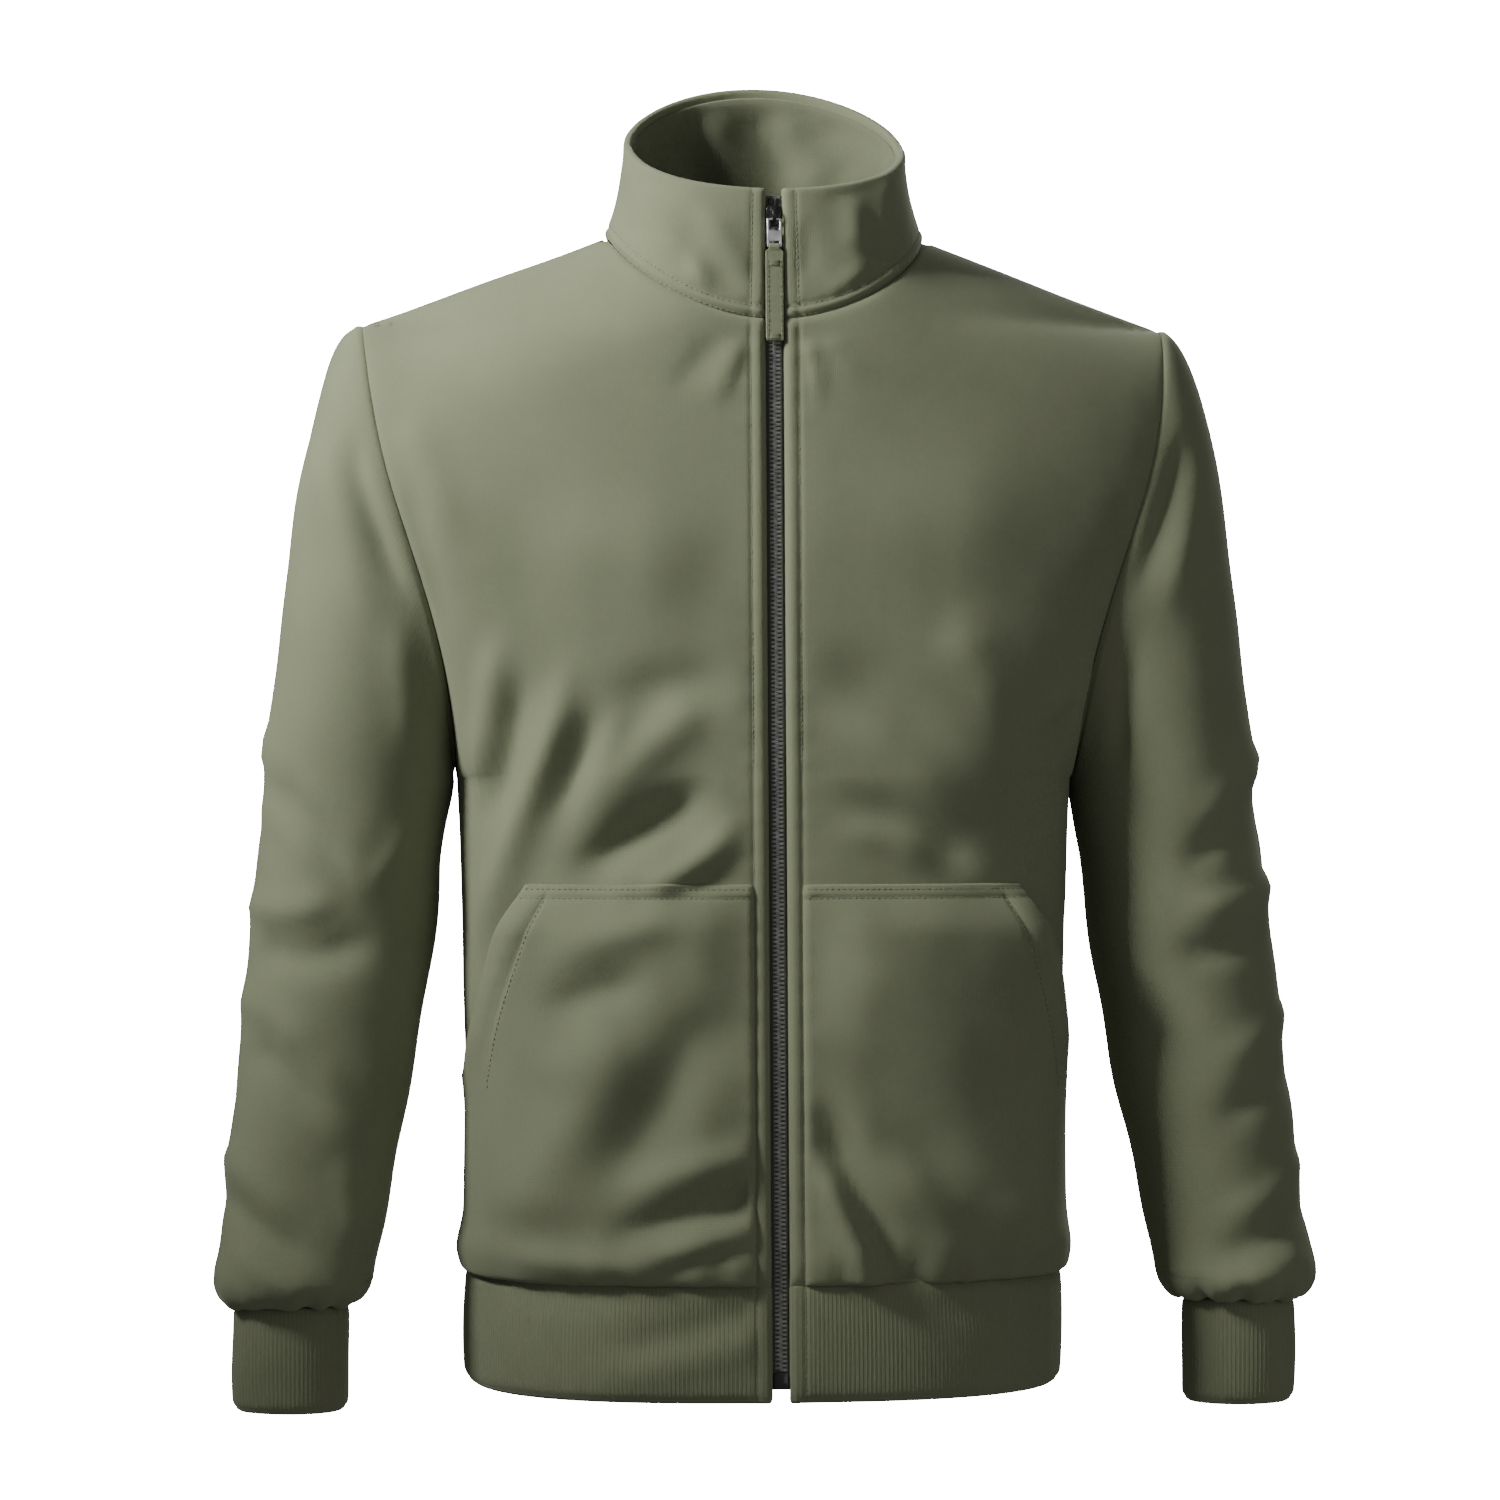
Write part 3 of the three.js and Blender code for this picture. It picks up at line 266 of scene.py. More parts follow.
# (points as x,z; height; width on the left of the line's direction; width on its right; fades)
FRONT_FOLDS = [
    # wearer's right chest, where the cloth hangs from the arm
    ([(-163, -238), (-172, -290), (-180, -350)], 3.2, 9, 8, (.35, .35)),
    ([(-150, -262), (-160, -315), (-176, -372)], -4.2, 8, 8, (.35, .3)),
    ([(-122, -252), (-139, -322), (-162, -388), (-174, -450)], 6.6, 11, 9, (.3, .3)),
    ([(-108, -285), (-118, -325), (-140, -372)], -2.6, 10, 10, (.35, .35)),
    ([(-92, -282), (-104, -320), (-126, -362)], 2.2, 9, 8, (.4, .4)),
    ([(-30, -278), (-80, -318), (-122, -372)], 4.4, 15, 13, (.3, .3)),
    ([(-32, -336), (-82, -364), (-128, -398)], -6.4, 15, 11, (.3, .3)),
    ([(-18, -352), (-50, -384), (-86, -404)], 4.6, 10, 8, (.35, .25)),
    ([(-20, -384), (-60, -400), (-100, -412)], -2.0, 8, 8, (.35, .35)),
    ([(-20, -280), (-62, -280), (-110, -290)], -4.0, 22, 16, (.4, .4)),
    ([(-30, -212), (-95, -200), (-160, -205)], 4.4, 40, 34, (.4, .4)),
    # under the neck seam
    ([(-20, -66), (-30, -92), (-44, -112)], 1.8, 5, 5, (.2, .5)),
    ([(-34, -66), (-50, -88), (-66, -104)], -1.4, 5, 5, (.2, .5)),
    ([(20, -68), (24, -90), (27, -118)], 1.6, 4, 4, (.2, .5)),
    ([(32, -66), (44, -84), (66, -96)], 1.0, 6, 6, (.2, .5)),
    # drags off the armholes
    ([(-222, -150), (-212, -200), (-190, -252)], -2.6, 10, 9, (.3, .4)),
    ([(-228, -112), (-206, -150), (-190, -205)], 2.2, 12, 10, (.3, .4)),
    ([(190, -284), (176, -300), (154, -326)], -3.2, 5, 6, (.25, .4)),
    ([(198, -258), (184, -282), (158, -304)], 2.4, 9, 9, (.3, .4)),
    ([(222, -150), (212, -200), (196, -245)], -1.6, 9, 9, (.3, .4)),
    # wearer's left chest
    ([(20, -262), (70, -286), (124, -336)], -3.0, 20, 17, (.4, .4)),
    ([(20, -292), (76, -322), (122, -372)], 2.8, 17, 15, (.4, .4)),
    ([(96, -238), (124, -268), (146, -322)], 3.0, 18, 14, (.4, .4)),
    ([(26, -348), (84, -362), (122, -394)], -3.6, 13, 12, (.35, .3)),
    ([(26, -366), (66, -368), (98, -392)], 2.4, 12, 10, (.4, .35)),
    ([(30, -200), (95, -175), (165, -195)], 2.6, 40, 38, (.4, .4)),
    # side seams
    ([(-182, -420), (-184, -480), (-180, -540)], 2.0, 12, 12, (.4, .4)),
    ([(180, -400), (186, -440), (181, -492)], -1.8, 10, 10, (.4, .4)),
]

# below the pocket tops: they shape the pockets and the panels together
LOWER_FOLDS = [
    ([(-50, -416), (-98, -428), (-140, -446)], 3.4, 12, 12, (.35, .4)),
    ([(-70, -450), (-108, -462), (-140, -474)], -3.6, 12, 11, (.35, .35)),
    ([(-88, -480), (-112, -498), (-140, -520)], 3.0, 16, 16, (.35, .35)),
    ([(-28, -462), (-66, -516), (-104, -588)], -5.4, 21, 18, (.3, .25)),
    ([(-72, -472), (-113, -533), (-150, -612)], 5.2, 22, 18, (.35, .2)),
    ([(-12, -556), (-58, -567), (-100, -584)], 4.4, 11, 10, (.1, .4)),
    ([(-14, -580), (-62, -593), (-104, -608)], -4.4, 9, 9, (.1, .35)),
    ([(-12, -597), (-46, -608), (-84, -622)], 3.4, 7, 7, (.1, .35)),
    ([(-12, -613), (-44, -617), (-80, -627)], -1.8, 5, 5, (.1, .35)),
    ([(-60, -622), (-110, -622), (-160, -618)], 3.4, 9, 8, (.35, .3)),
    ([(20, -516), (44, -570), (66, -618), (84, -648)], -7.6, 9, 12, (.25, .12)),
    ([(18, -552), (39, -600), (56, -642)], 5.2, 8, 7, (.3, .12)),
    ([(56, -552), (88, -592), (112, -640)], 4.4, 13, 13, (.35, .2)),
    ([(20, -486), (70, -532), (112, -584)], -4.0, 18, 17, (.35, .35)),
    ([(22, -440), (82, -470), (142, -536)], 3.6, 22, 22, (.35, .35)),
    ([(72, -606), (80, -622), (86, -634)], -2.6, 4, 4, (.4, .05)),
    ([(100, -610), (104, -622), (107, -634)], -2.2, 4, 4, (.4, .05)),
    ([(124, -612), (128, -624), (130, -634)], -1.6, 4, 4, (.4, .05)),
    ([(60, -404), (110, -430), (150, -480)], 2.2, 20, 20, (.4, .4)),
    ([(120, -580), (150, -606), (176, -622)], 2.6, 14, 12, (.4, .3)),
]

BACK_FOLDS = [
    ([(-150, -230), (-90, -270), (0, -284)], 3.6, 18, 16, (.35, .4)),
    ([(-160, -262), (-100, -312), (-20, -330)], -3.8, 16, 14, (.35, .4)),
    ([(150, -225), (96, -268), (10, -280)], 3.4, 17, 16, (.35, .4)),
    ([(164, -268), (104, -306), (30, -326)], -3.6, 16, 14, (.35, .4)),
    ([(-168, -380), (-110, -430), (-30, -450)], 3.4, 16, 14, (.35, .4)),
    ([(168, -392), (100, -420), (20, -436)], 3.2, 16, 15, (.35, .4)),
    ([(-170, -420), (-100, -470), (0, -486)], -3.4, 16, 15, (.35, .4)),
    ([(172, -440), (110, -490), (30, -520)], -3.2, 16, 15, (.35, .4)),
    ([(-120, -560), (-60, -590), (40, -604)], 3.4, 16, 12, (.35, .35)),
    ([(140, -545), (90, -590), (60, -628)], 3.6, 14, 12, (.35, .2)),
    ([(-150, -570), (-130, -604), (-120, -634)], -3.2, 9, 9, (.35, .1)),
    ([(110, -580), (118, -610), (122, -634)], -3.0, 8, 8, (.35, .1)),
    ([(-40, -70), (-20, -120), (0, -200)], 1.6, 22, 22, (.3, .5)),
    ([(196, -190), (180, -250), (150, -300)], -2.6, 12, 10, (.3, .4)),
    ([(-196, -190), (-180, -250), (-150, -300)], -2.6, 12, 10, (.3, .4)),
]


def all_folds(a, b, folds):
    total = np.zeros(np.broadcast(a, b).shape)
    for points, height, width, other, ends in folds:
        total += fold(a, b, points, height, width, other, ends)
    return total


def ridge(distance, height, width):
    return height * np.exp(-(distance / width) ** 2)


def groove(distance, depth, width):
    return ridge(distance, -depth, width)


def gathers(x, z, seed):
    """Small pleats that fade above the waistband seam."""
    up = z - HEM_SEAM
    r = np.random.default_rng(seed)
    total = 0
    for _ in range(5):
        total = total + np.sin(x * 2 * np.pi / r.uniform(13, 34) + r.uniform(0, 6.28))
    return total * 0.42 * np.exp(-(up / 22) ** 2)


def hem_roll(z, height=5.0):
    """The body hangs over the waistband seam a little."""
    up = z - HEM_SEAM
    return height * np.exp(-((up - 15) / 15) ** 2)




def front_relief(x, z, side):
    sx = x * side
    relief = 1.45 * (all_folds(sx, z, FRONT_FOLDS) + all_folds(sx, z, LOWER_FOLDS)) + waves(sx, z, 3, 120, 0.9)
    relief += gathers(sx, z, 5 if side > 0 else 6) + hem_roll(z, 3.4 + 1.8 * (side < 0))
    calm = smooth((x - 8) / 22)
    relief = relief * mix(0.3, 1, calm)
    relief += groove(x - 14.6, 0.75, 1.5) + ridge(x - 10.5, 0.5, 3) + groove(x - ZIP_EDGE, 1.1, 1.3)
    relief += 0.3 * np.sin(z * 2 * np.pi / 17 + 2 * np.sin(z / 31)) * np.exp(-((x - 16) / 7) ** 2)
    return relief


def front_point(x, z, side, lift=0.0):
    """Point on the worn front's surface and its outward direction, for the zip side of the shoulder."""
    x, z = np.broadcast_arrays(np.asarray(x, float), np.asarray(z, float))
    y = body_y(x, z, True)
    slope_x = (body_y(x + 1, z, True) - body_y(x - 1, z, True)) / 2
    slope_z = (body_y(x, z + 1, True) - body_y(x, z - 1, True)) / 2
    n = unit(np.stack([slope_x, -np.ones_like(x), slope_z], -1))
    p = np.stack([x, y, z], -1) + n * (front_relief(x, z, side) + lift)[..., None]
    mirrored(p, n, side)
    return p, n


# ---------------------------------------------------------------- meshes

def grid_normals(p, closed, inside):
    if closed:
        across = np.roll(p, -1, 0) - np.roll(p, 1, 0)
    else:
        across = np.gradient(p, axis=0)
    n = unit(np.cross(across, np.gradient(p, axis=1)))
    return n * np.sign((n * (p - inside)).sum())


def new_piece(name, points, faces, uv, material):
    mesh = bpy.data.meshes.new(name)
    mesh.from_pydata((np.asarray(points) * MILLIMETRE).tolist(), [], [list(map(int, f)) for f in faces])
    layer = mesh.uv_layers.new(name="cloth")
    loops = np.empty(len(mesh.loops), int)
    mesh.loops.foreach_get("vertex_index", loops)
    layer.data.foreach_set("uv", (np.asarray(uv)[loops] * MILLIMETRE).ravel())
    mesh.polygons.foreach_set("use_smooth", [True] * len(mesh.polygons))
    mesh.update()
    piece = bpy.data.objects.new(name, mesh)
    bpy.context.scene.collection.objects.link(piece)
    mesh.materials.append(material)
    return piece


def grid_faces(columns, rows, closed, first=0):
    i, j = np.meshgrid(np.arange(columns if closed else columns - 1), np.arange(rows - 1), indexing="ij")
    i2 = (i + 1) % columns
    return np.stack([first + i * rows + j, first + i2 * rows + j, first + i2 * rows + j + 1, first + i * rows + j + 1],
                    -1).reshape(-1, 4)


def cloth_shell(name, p, n, thickness, material, closed=False, uv=None):
    """Closed cloth with rounded cut edges between an outer grid and its inner copy."""
    columns, rows = p.shape[:2]
    inner = p - n * thickness
    middle = p - n * thickness / 2
    count = columns * rows
    points = np.concatenate([p.reshape(-1, 3), inner.reshape(-1, 3)])
    outer_faces = grid_faces(columns, rows, closed)
    inner_faces = grid_faces(columns, rows, closed, count)[:, ::-1]
    faces = [outer_faces, inner_faces]
    if closed:
        borders = [np.arange(columns) * rows, (np.arange(columns) * rows + rows - 1)[::-1]]
    else:
        borders = [np.concatenate([np.arange(columns) * rows,
                                   (columns - 1) * rows + np.arange(1, rows),
                                   (np.arange(columns - 1) * rows + rows - 1)[::-1],
                                   np.arange(rows - 2, 0, -1)])]
    flat_p, flat_m, flat_i = p.reshape(-1, 3), middle.reshape(-1, 3), inner.reshape(-1, 3)
    extra = []
    for border in borders:
        ring = flat_m[border]
        if closed:
            j = 0 if border[0] % rows == 0 else rows - 1
            step = 1 if j == 0 else -1
            out = unit(flat_m[border] - flat_m[border + step])
        else:
            i_b, j_b = border // rows, border % rows
            i_in, j_in = np.clip(i_b, 1, columns - 2), np.clip(j_b, 1, rows - 2)
            out = unit(flat_m[border] - flat_m[i_in * rows + j_in])
        start = 2 * count + sum(len(e) for e in extra)
        extra.append(ring + out * 0.5 * thickness)
        k = np.arange(len(border))
        k2 = (k + 1) % len(border)
        faces.append(np.stack([border[k2], border[k], start + k, start + k2], -1))
        faces.append(np.stack([start + k2, start + k, count + border[k], count + border[k2]], -1))
    points = np.concatenate([points] + extra)
    faces = np.concatenate(faces)
    flat_uv = uv.reshape(-1, 2)
    all_uv = np.concatenate([flat_uv, flat_uv] + [flat_uv[b] for b in borders])
    a, b, c = points[faces[:, 0]], points[faces[:, 1]], points[faces[:, 2]]
    if (a * np.cross(b, c)).sum() < 0:
        faces = faces[:, ::-1]
    return new_piece(name, points, faces, all_uv, material)


def rounded_block(low, high, radius, segments=2):
    """Points and faces of a box with rounded edges."""
    low, high = np.minimum(low, high), np.maximum(low, high)
    radius = min(radius, *((high - low) / 2.05))
    ts = []
    for a in range(3):
        turn = np.linspace(0, np.pi / 2, segments + 1)
        ts.append(np.concatenate([low[a] + radius * (1 - np.cos(turn)), high[a] - radius * (1 - np.cos(turn[::-1]))]))
    count = len(ts[0])
    points, faces, index = [], [], {}

    def place(i, j, k):
        key = (i, j, k)
        if key not in index:
            q = np.array([ts[0][i], ts[1][j], ts[2][k]])
            core = np.clip(q, low + radius, high - radius)
            d = q - core
            length = np.linalg.norm(d)
            index[key] = len(points)
            points.append(core + d / length * radius if length > 1e-9 else q)
        return index[key]
    last = count - 1
    for a in range(3):
        b, c = (a + 1) % 3, (a + 2) % 3
        for end in (0, last):
            for u in range(last):
                for v in range(last):
                    quad = []
                    for du, dv in ((0, 0), (1, 0), (1, 1), (0, 1)):
                        key = [0, 0, 0]
                        key[a], key[b], key[c] = end, u + du, v + dv
                        quad.append(place(*key))
                    faces.append(quad if end else quad[::-1])
    return np.array(points), np.array(faces)


def joined(parts):
    points, faces, total = [], [], 0
    for p, f in parts:
        points.append(p)
        faces.extend((np.asarray(f) + total).tolist())
        total += len(p)
    return np.concatenate(points), faces


def stitches(path, normals, length=2.7, gap=0.75, radius=0.27, sink=0.08):
    """Thread along a path on the cloth: short rounded stitches that dip at both ends."""
    path = np.asarray(path, float)
    step = np.linalg.norm(np.diff(path, axis=0), axis=1)
    run = np.concatenate([[0], np.cumsum(step)])
    count = int(run[-1] // (length + gap))
    parts = []
    turn = np.arange(6) * np.pi / 3
    for k in range(count):
        at = (k + 0.5) * run[-1] / count + np.array([-0.5, -0.3, 0, 0.3, 0.5]) * length
        c = np.stack([np.interp(at, run, path[:, a]) for a in range(3)], -1)
        n = unit(np.stack([np.interp(at, run, normals[:, a]) for a in range(3)], -1))
        along = unit(np.gradient(c, axis=0))
        side = np.cross(n, along)
        lift = np.array([-0.25, 0.14, 0.24, 0.14, -0.25]) - sink
        size = np.array([0.35, 0.95, 1.05, 0.95, 0.35]) * radius
        ring = (c + n * lift[:, None])[:, None] + size[:, None, None] * (
            np.cos(turn)[None, :, None] * side[:, None] + np.sin(turn)[None, :, None] * n[:, None])
        f = []
        for a in range(4):
            for b in range(6):
                b2 = (b + 1) % 6
                f.append([a * 6 + b, a * 6 + b2, (a + 1) * 6 + b2, (a + 1) * 6 + b])
        f += [[5, 4, 3, 2], [5, 2, 1, 0], [24, 25, 26, 27], [24, 27, 28, 29]]
        parts.append((ring.reshape(-1, 3), f))
    return parts


# ---------------------------------------------------------------- materials

def node(tree, kind, **inputs):
    n = tree.nodes.new(kind)
    for key, value in inputs.items():
        n.inputs[key.replace("_", " ")].default_value = value
    return n


def math_node(tree, operation, a, b=None):
    n = tree.nodes.new("ShaderNodeMath")
    n.operation = operation
    for k, value in enumerate((a, b)):
        if value is None:
            continue
        if hasattr(value, "links"):
            tree.links.new(value, n.inputs[k])
        else:
            n.inputs[k].default_value = value
    return n.outputs[0]


def times(tree, a, b):
    return math_node(tree, "MULTIPLY", a, b)


def plus(tree, a, b):
    return math_node(tree, "ADD", a, b)


def cloth_material(name, light, dark, pitch, course, depth, fuzz, sheen=0.18, roughness=0.88, blotch=9.0):
    """Knitted or woven cloth: columns and courses of loops, fuzz over them, soft uneven dye, and painted shade in the
    hollows between loops.
    """
    material = bpy.data.materials.new(name)
    material.use_nodes = True
    tree = material.node_tree
    shader = tree.nodes["Principled BSDF"]
    shader.inputs["Roughness"].default_value = roughness
    shader.inputs["Sheen Weight"].default_value = sheen
    shader.inputs["Sheen Roughness"].default_value = 0.55
    shader.inputs["Sheen Tint"].default_value = (0.9, 0.95, 0.75, 1)
    shader.inputs["Specular IOR Level"].default_value = 0.22
    place = tree.nodes.new("ShaderNodeTexCoord")
    uv = tree.nodes.new("ShaderNodeSeparateXYZ")
    tree.links.new(place.outputs["UV"], uv.inputs[0])
    large = node(tree, "ShaderNodeTexNoise", Scale=blotch, Detail=4.0, Roughness=0.6)
    small = node(tree, "ShaderNodeTexNoise", Scale=420.0, Detail=3.0, Roughness=0.65)
    fibre = node(tree, "ShaderNodeTexNoise", Scale=1900.0, Detail=2.0, Roughness=0.7)
    for n in (large, small, fibre):
        tree.links.new(place.outputs["Object"], n.inputs["Vector"])
    wobble = times(tree, small.outputs[0], pitch * 0.9)
    across = times(tree, plus(tree, uv.outputs[0], wobble), 2 * math.pi / pitch)
    along = times(tree, uv.outputs[1], 2 * math.pi / course)
    wale = math_node(tree, "SINE", across)
    loop = math_node(tree, "SINE", plus(tree, along, times(tree, wale, 1.2)))
    knit = plus(tree, times(tree, wale, 0.6), times(tree, loop, 0.4))
    height = plus(tree, times(tree, knit, 0.5 * (1 - fuzz)),
                       times(tree, fibre.outputs[0], 1.4 * fuzz))
    bump = node(tree, "ShaderNodeBump", Strength=0.55, Distance=depth)
    tree.links.new(height, bump.inputs["Height"])
    tree.links.new(bump.outputs[0], shader.inputs["Normal"])
    # colour: uneven dye from the noise, plus painted shade where the knit's loops dip (the same knit height that drives
    # the bump)
    dye_and_loop_shade = plus(tree, times(tree, large.outputs[0], 0.75),
                     plus(tree, times(tree, knit, 0.07),
                               times(tree, small.outputs[0], 0.3)))
    ramp = tree.nodes.new("ShaderNodeValToRGB")
    ramp.color_ramp.elements[0].position = 0.3
    ramp.color_ramp.elements[0].color = (*dark, 1)
    ramp.color_ramp.elements[1].position = 0.75
    ramp.color_ramp.elements[1].color = (*light, 1)
    tree.links.new(dye_and_loop_shade, ramp.inputs[0])
    tree.links.new(ramp.outputs[0], shader.inputs["Base Color"])
    rough = plus(tree, times(tree, small.outputs[0], 0.12), roughness - 0.06)
    tree.links.new(rough, shader.inputs["Roughness"])
    return material


def hard_material(name, light, dark, metallic, roughness, grain, bump_depth, coat=0.0):
    """Metal or moulded plastic with fine scratches and worn, uneven gloss."""
    material = bpy.data.materials.new(name)
    material.use_nodes = True
    tree = material.node_tree
    shader = tree.nodes["Principled BSDF"]
    shader.inputs["Metallic"].default_value = metallic
    shader.inputs["Coat Weight"].default_value = coat
    place = tree.nodes.new("ShaderNodeTexCoord")
    noise = node(tree, "ShaderNodeTexNoise", Scale=grain, Detail=5.0, Roughness=0.6)
    scratch = node(tree, "ShaderNodeTexNoise", Scale=grain * 6, Detail=2.0, Roughness=0.6)
    for n in (noise, scratch):
        tree.links.new(place.outputs["Object"], n.inputs["Vector"])
    ramp = tree.nodes.new("ShaderNodeValToRGB")
    ramp.color_ramp.elements[0].position = 0.35
    ramp.color_ramp.elements[0].color = (*dark, 1)
    ramp.color_ramp.elements[1].position = 0.7
    ramp.color_ramp.elements[1].color = (*light, 1)
    tree.links.new(noise.outputs[0], ramp.inputs[0])
    tree.links.new(ramp.outputs[0], shader.inputs["Base Color"])
    rough = plus(tree, times(tree, noise.outputs[0], 0.22), roughness - 0.1)
    tree.links.new(rough, shader.inputs["Roughness"])
    bump = node(tree, "ShaderNodeBump", Strength=0.35, Distance=bump_depth)
    tree.links.new(scratch.outputs[0], bump.inputs["Height"])
    tree.links.new(bump.outputs[0], shader.inputs["Normal"])
    return material


FLEECE = cloth_material("fleece", (0.222, 0.242, 0.150), (0.180, 0.198, 0.120), 0.0011, 0.0009, 0.00022, 0.5)
FACING = cloth_material("facing", (0.17, 0.186, 0.115), (0.135, 0.149, 0.09), 0.0016, 0.0013, 0.0004, 0.65, sheen=0.3)
RIB = cloth_material("rib", (0.213, 0.233, 0.144), (0.173, 0.191, 0.115), 0.0012, 0.0009, 0.0003, 0.35)
TAPE = cloth_material("zip_tape", (0.10, 0.106, 0.082), (0.068, 0.073, 0.056), 0.0009, 0.0006, 0.0002, 0.15, sheen=0.05)
THREAD = cloth_material("thread", (0.25, 0.27, 0.175), (0.17, 0.187, 0.117), 0.0005, 0.0005, 0.0001, 0.3)
TEETH = hard_material("zip_teeth", (0.30, 0.30, 0.285), (0.17, 0.17, 0.16), 0.45, 0.46, 260, 0.00006)
BLACK = hard_material("zip_hardware", (0.022, 0.022, 0.021), (0.012, 0.012, 0.012), 0.3, 0.36, 180, 0.00005, coat=0.3)
NICKEL = hard_material("pull_metal", (0.86, 0.87, 0.88), (0.72, 0.73, 0.74), 1.0, 0.42, 220, 0.00004)

# ---------------------------------------------------------------- body panels

FROM_EDGE = [0, .7, 1.5, 2.6, 4, 5.4, 6.4, 7.2, 8.1, 9, 10, 12, 15, 19]
NEAR_SEAM = np.array([0, .8, 1.8, 3, 5, 8, 12])
TRUE_WIDTH = 184.0


def panel(start, front, side):
    distances = merged(FROM_EDGE if front else [0, 5], np.arange(19, TRUE_WIDTH - 12, 4.6), TRUE_WIDTH - NEAR_SEAM)
    shares = distances / distances[-1]
    top_x = start + shares * (SHOULDER_X - start)
    quarter = np.arcsin(np.clip(top_x / NECK_X, 0, 1))
    top_z = np.where(top_x < NECK_X, neck_z(quarter if front else np.pi - quarter), shoulder_line(top_x))
    lower = HEM_SEAM + 0.2 + merged(NEAR_SEAM, np.arange(12, UNDERARM_Z - HEM_SEAM - 3, 4.8))
    j = np.arange(61) / 60
    turn = mix((1 - np.cos(np.pi * j)) / 2, j, 0.35)
    z = np.concatenate([np.repeat(lower[None], len(shares), 0), UNDERARM_Z + (top_z[:, None] - UNDERARM_Z) * turn], 1)
    x = start + (edge_x(z) - start) * shares[:, None]
    y = body_y(x, z, front)
    # the armhole's edge comes into the side without a step
    soft = y.copy()
    near = (z > UNDERARM_Z - 70) & (z < UNDERARM_Z + 95)
    for _ in range(140):
        soft[:, 1:-1] = np.where(near[:, 1:-1], (soft[:, :-2] + 2 * soft[:, 1:-1] + soft[:, 2:]) / 4, soft[:, 1:-1])
    keep = smooth((1 - shares) / 0.1)[:, None]
    y = mix(y, soft, keep)
    y += -0.2 if front else 0.2
    p = np.stack([x, y, z], -1)
    inside = np.stack([np.zeros_like(z), np.full_like(z, SEAM_Y), z], -1)
    n = grid_normals(p, False, inside)
    for _ in range(2):
        n[:, 1:-1] = unit(n[:, :-2] + 2 * n[:, 1:-1] + n[:, 2:])
    seam_gap = (1 - shares)[:, None] * TRUE_WIDTH
    top_gap = top_z[:, None] - z
    hem_gap = z - HEM_SEAM
    if front:
        relief = front_relief(x, z, side)
    else:
        relief = (all_folds(x * side, z, BACK_FOLDS) + waves(x * side, z, 11, 130, 1.1)
                  + gathers(x * side, z, 9) + hem_roll(z, 4))
    calm = smooth(seam_gap / 16) * smooth(top_gap / 14 + 0.25) * smooth(hem_gap / 9 + 0.1)
    relief = relief * mix(0.25, 1, calm)
    under = smooth((-130 - z) / 130)
    neck_side = (top_x < NECK_X)[:, None]
    relief += (groove(seam_gap, mix(0.45, 1.3, under), 1.8) + groove(top_gap, np.where(neck_side, 1.2, 0.5), 2.0)
               + groove(hem_gap, 1.6, 2.6))
    p = p + n * relief[..., None]
    mirrored(p, n, side)
    uv = np.stack([x * side + (0 if front else 900), z], -1)
    return p, n, uv


for hand, side in (("left", 1), ("right", -1)):
    p, n, uv = panel(ZIP_EDGE, True, side)
    piece = cloth_shell(f"front_{hand}", p, n, 2.4, FLEECE, uv=uv)
    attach(piece, "jacket")
    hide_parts(f"front_panel_{hand}")

p, n, uv = panel(0.0, False, 1)
p2, n2, uv2 = panel(0.0, False, -1)
p = np.concatenate([p2[:0:-1], p])
n = np.concatenate([n2[:0:-1], n])
uv = np.concatenate([uv2[:0:-1], uv])
piece = cloth_shell("back", p, n, 2.4, FLEECE, uv=uv)
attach(piece, "jacket")
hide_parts("back_panel")

# ---------------------------------------------------------------- waistband

WAIST_FOLDS = [
    ([(-12, -646), (-62, -662), (-112, -674)], -2.6, 8, 9, (.1, .4)),
    ([(-10, -664), (-70, -682), (-130, -684)], 2.2, 10, 10, (.1, .4)),
    ([(-90, -640), (-130, -642), (-172, -638)], -1.8, 7, 7, (.3, .3)),
    ([(60, -642), (110, -650), (160, -645)], -1.2, 8, 8, (.3, .3)),
]


def band_ring(z, count, start=ZIP_EDGE):
    """Outline of the body at one height, from one zip edge round the back to the other, evenly spaced."""
    first = math.asin(start / 183.0)
    angle = np.linspace(first, 2 * np.pi - first, 4001)
    level = np.full(4001, z)
    x = edge_x(level) * np.sin(angle)
    y = np.where(np.cos(angle) > 0, body_y(np.abs(x), level, True), body_y(np.abs(x), level, False))
    run = np.concatenate([[0], np.cumsum(np.hypot(np.diff(x), np.diff(y)))])
    at = np.linspace(0, run[-1], count)
    return np.interp(at, run, x), np.interp(at, run, y), at


def ribs(at, pitch, depth):
    wave = np.cos(at * 2 * np.pi / pitch)
    return depth * (np.sign(wave) * np.abs(wave) ** 0.7 - 1) / 2


x, y, at = band_ring((HEM + HEM_SEAM) / 2, 2480)
levels = HEM + merged([0, .8, 1.8, 3.2, 5, 8], np.arange(12, 58, 6), 66.8 - np.array([0, .8, 1.8, 3, 5, 7]))
zz = np.repeat(levels[None], len(x), 0)
ring = []
for level in levels:
    rx, ry, _ = band_ring(level, len(x))
    ring.append(np.stack([rx, ry, np.full(len(rx), level)], -1))
p = np.stack(ring, 1)
n = grid_normals(p, False, np.array([0, SEAM_Y, (HEM + HEM_SEAM) / 2]))
front_side = p[..., 1] < SEAM_Y
up = p[..., 2] - HEM
along = at[:, None] * np.ones_like(up)
relief = np.where(front_side, all_folds(p[..., 0], p[..., 2], WAIST_FOLDS), 0) + waves(along, up, 21, 150, 0.8)
relief += ribs(at, 2.6, 0.2)[:, None] * smooth(up / 3) * smooth((67.3 - up) / 3)
relief += 1.6 * np.sin(np.pi * clamp(up / 67)) ** 0.8
relief += groove(up, 2.4, 2.6) + groove(66.8 - up, 1.2, 2.6)
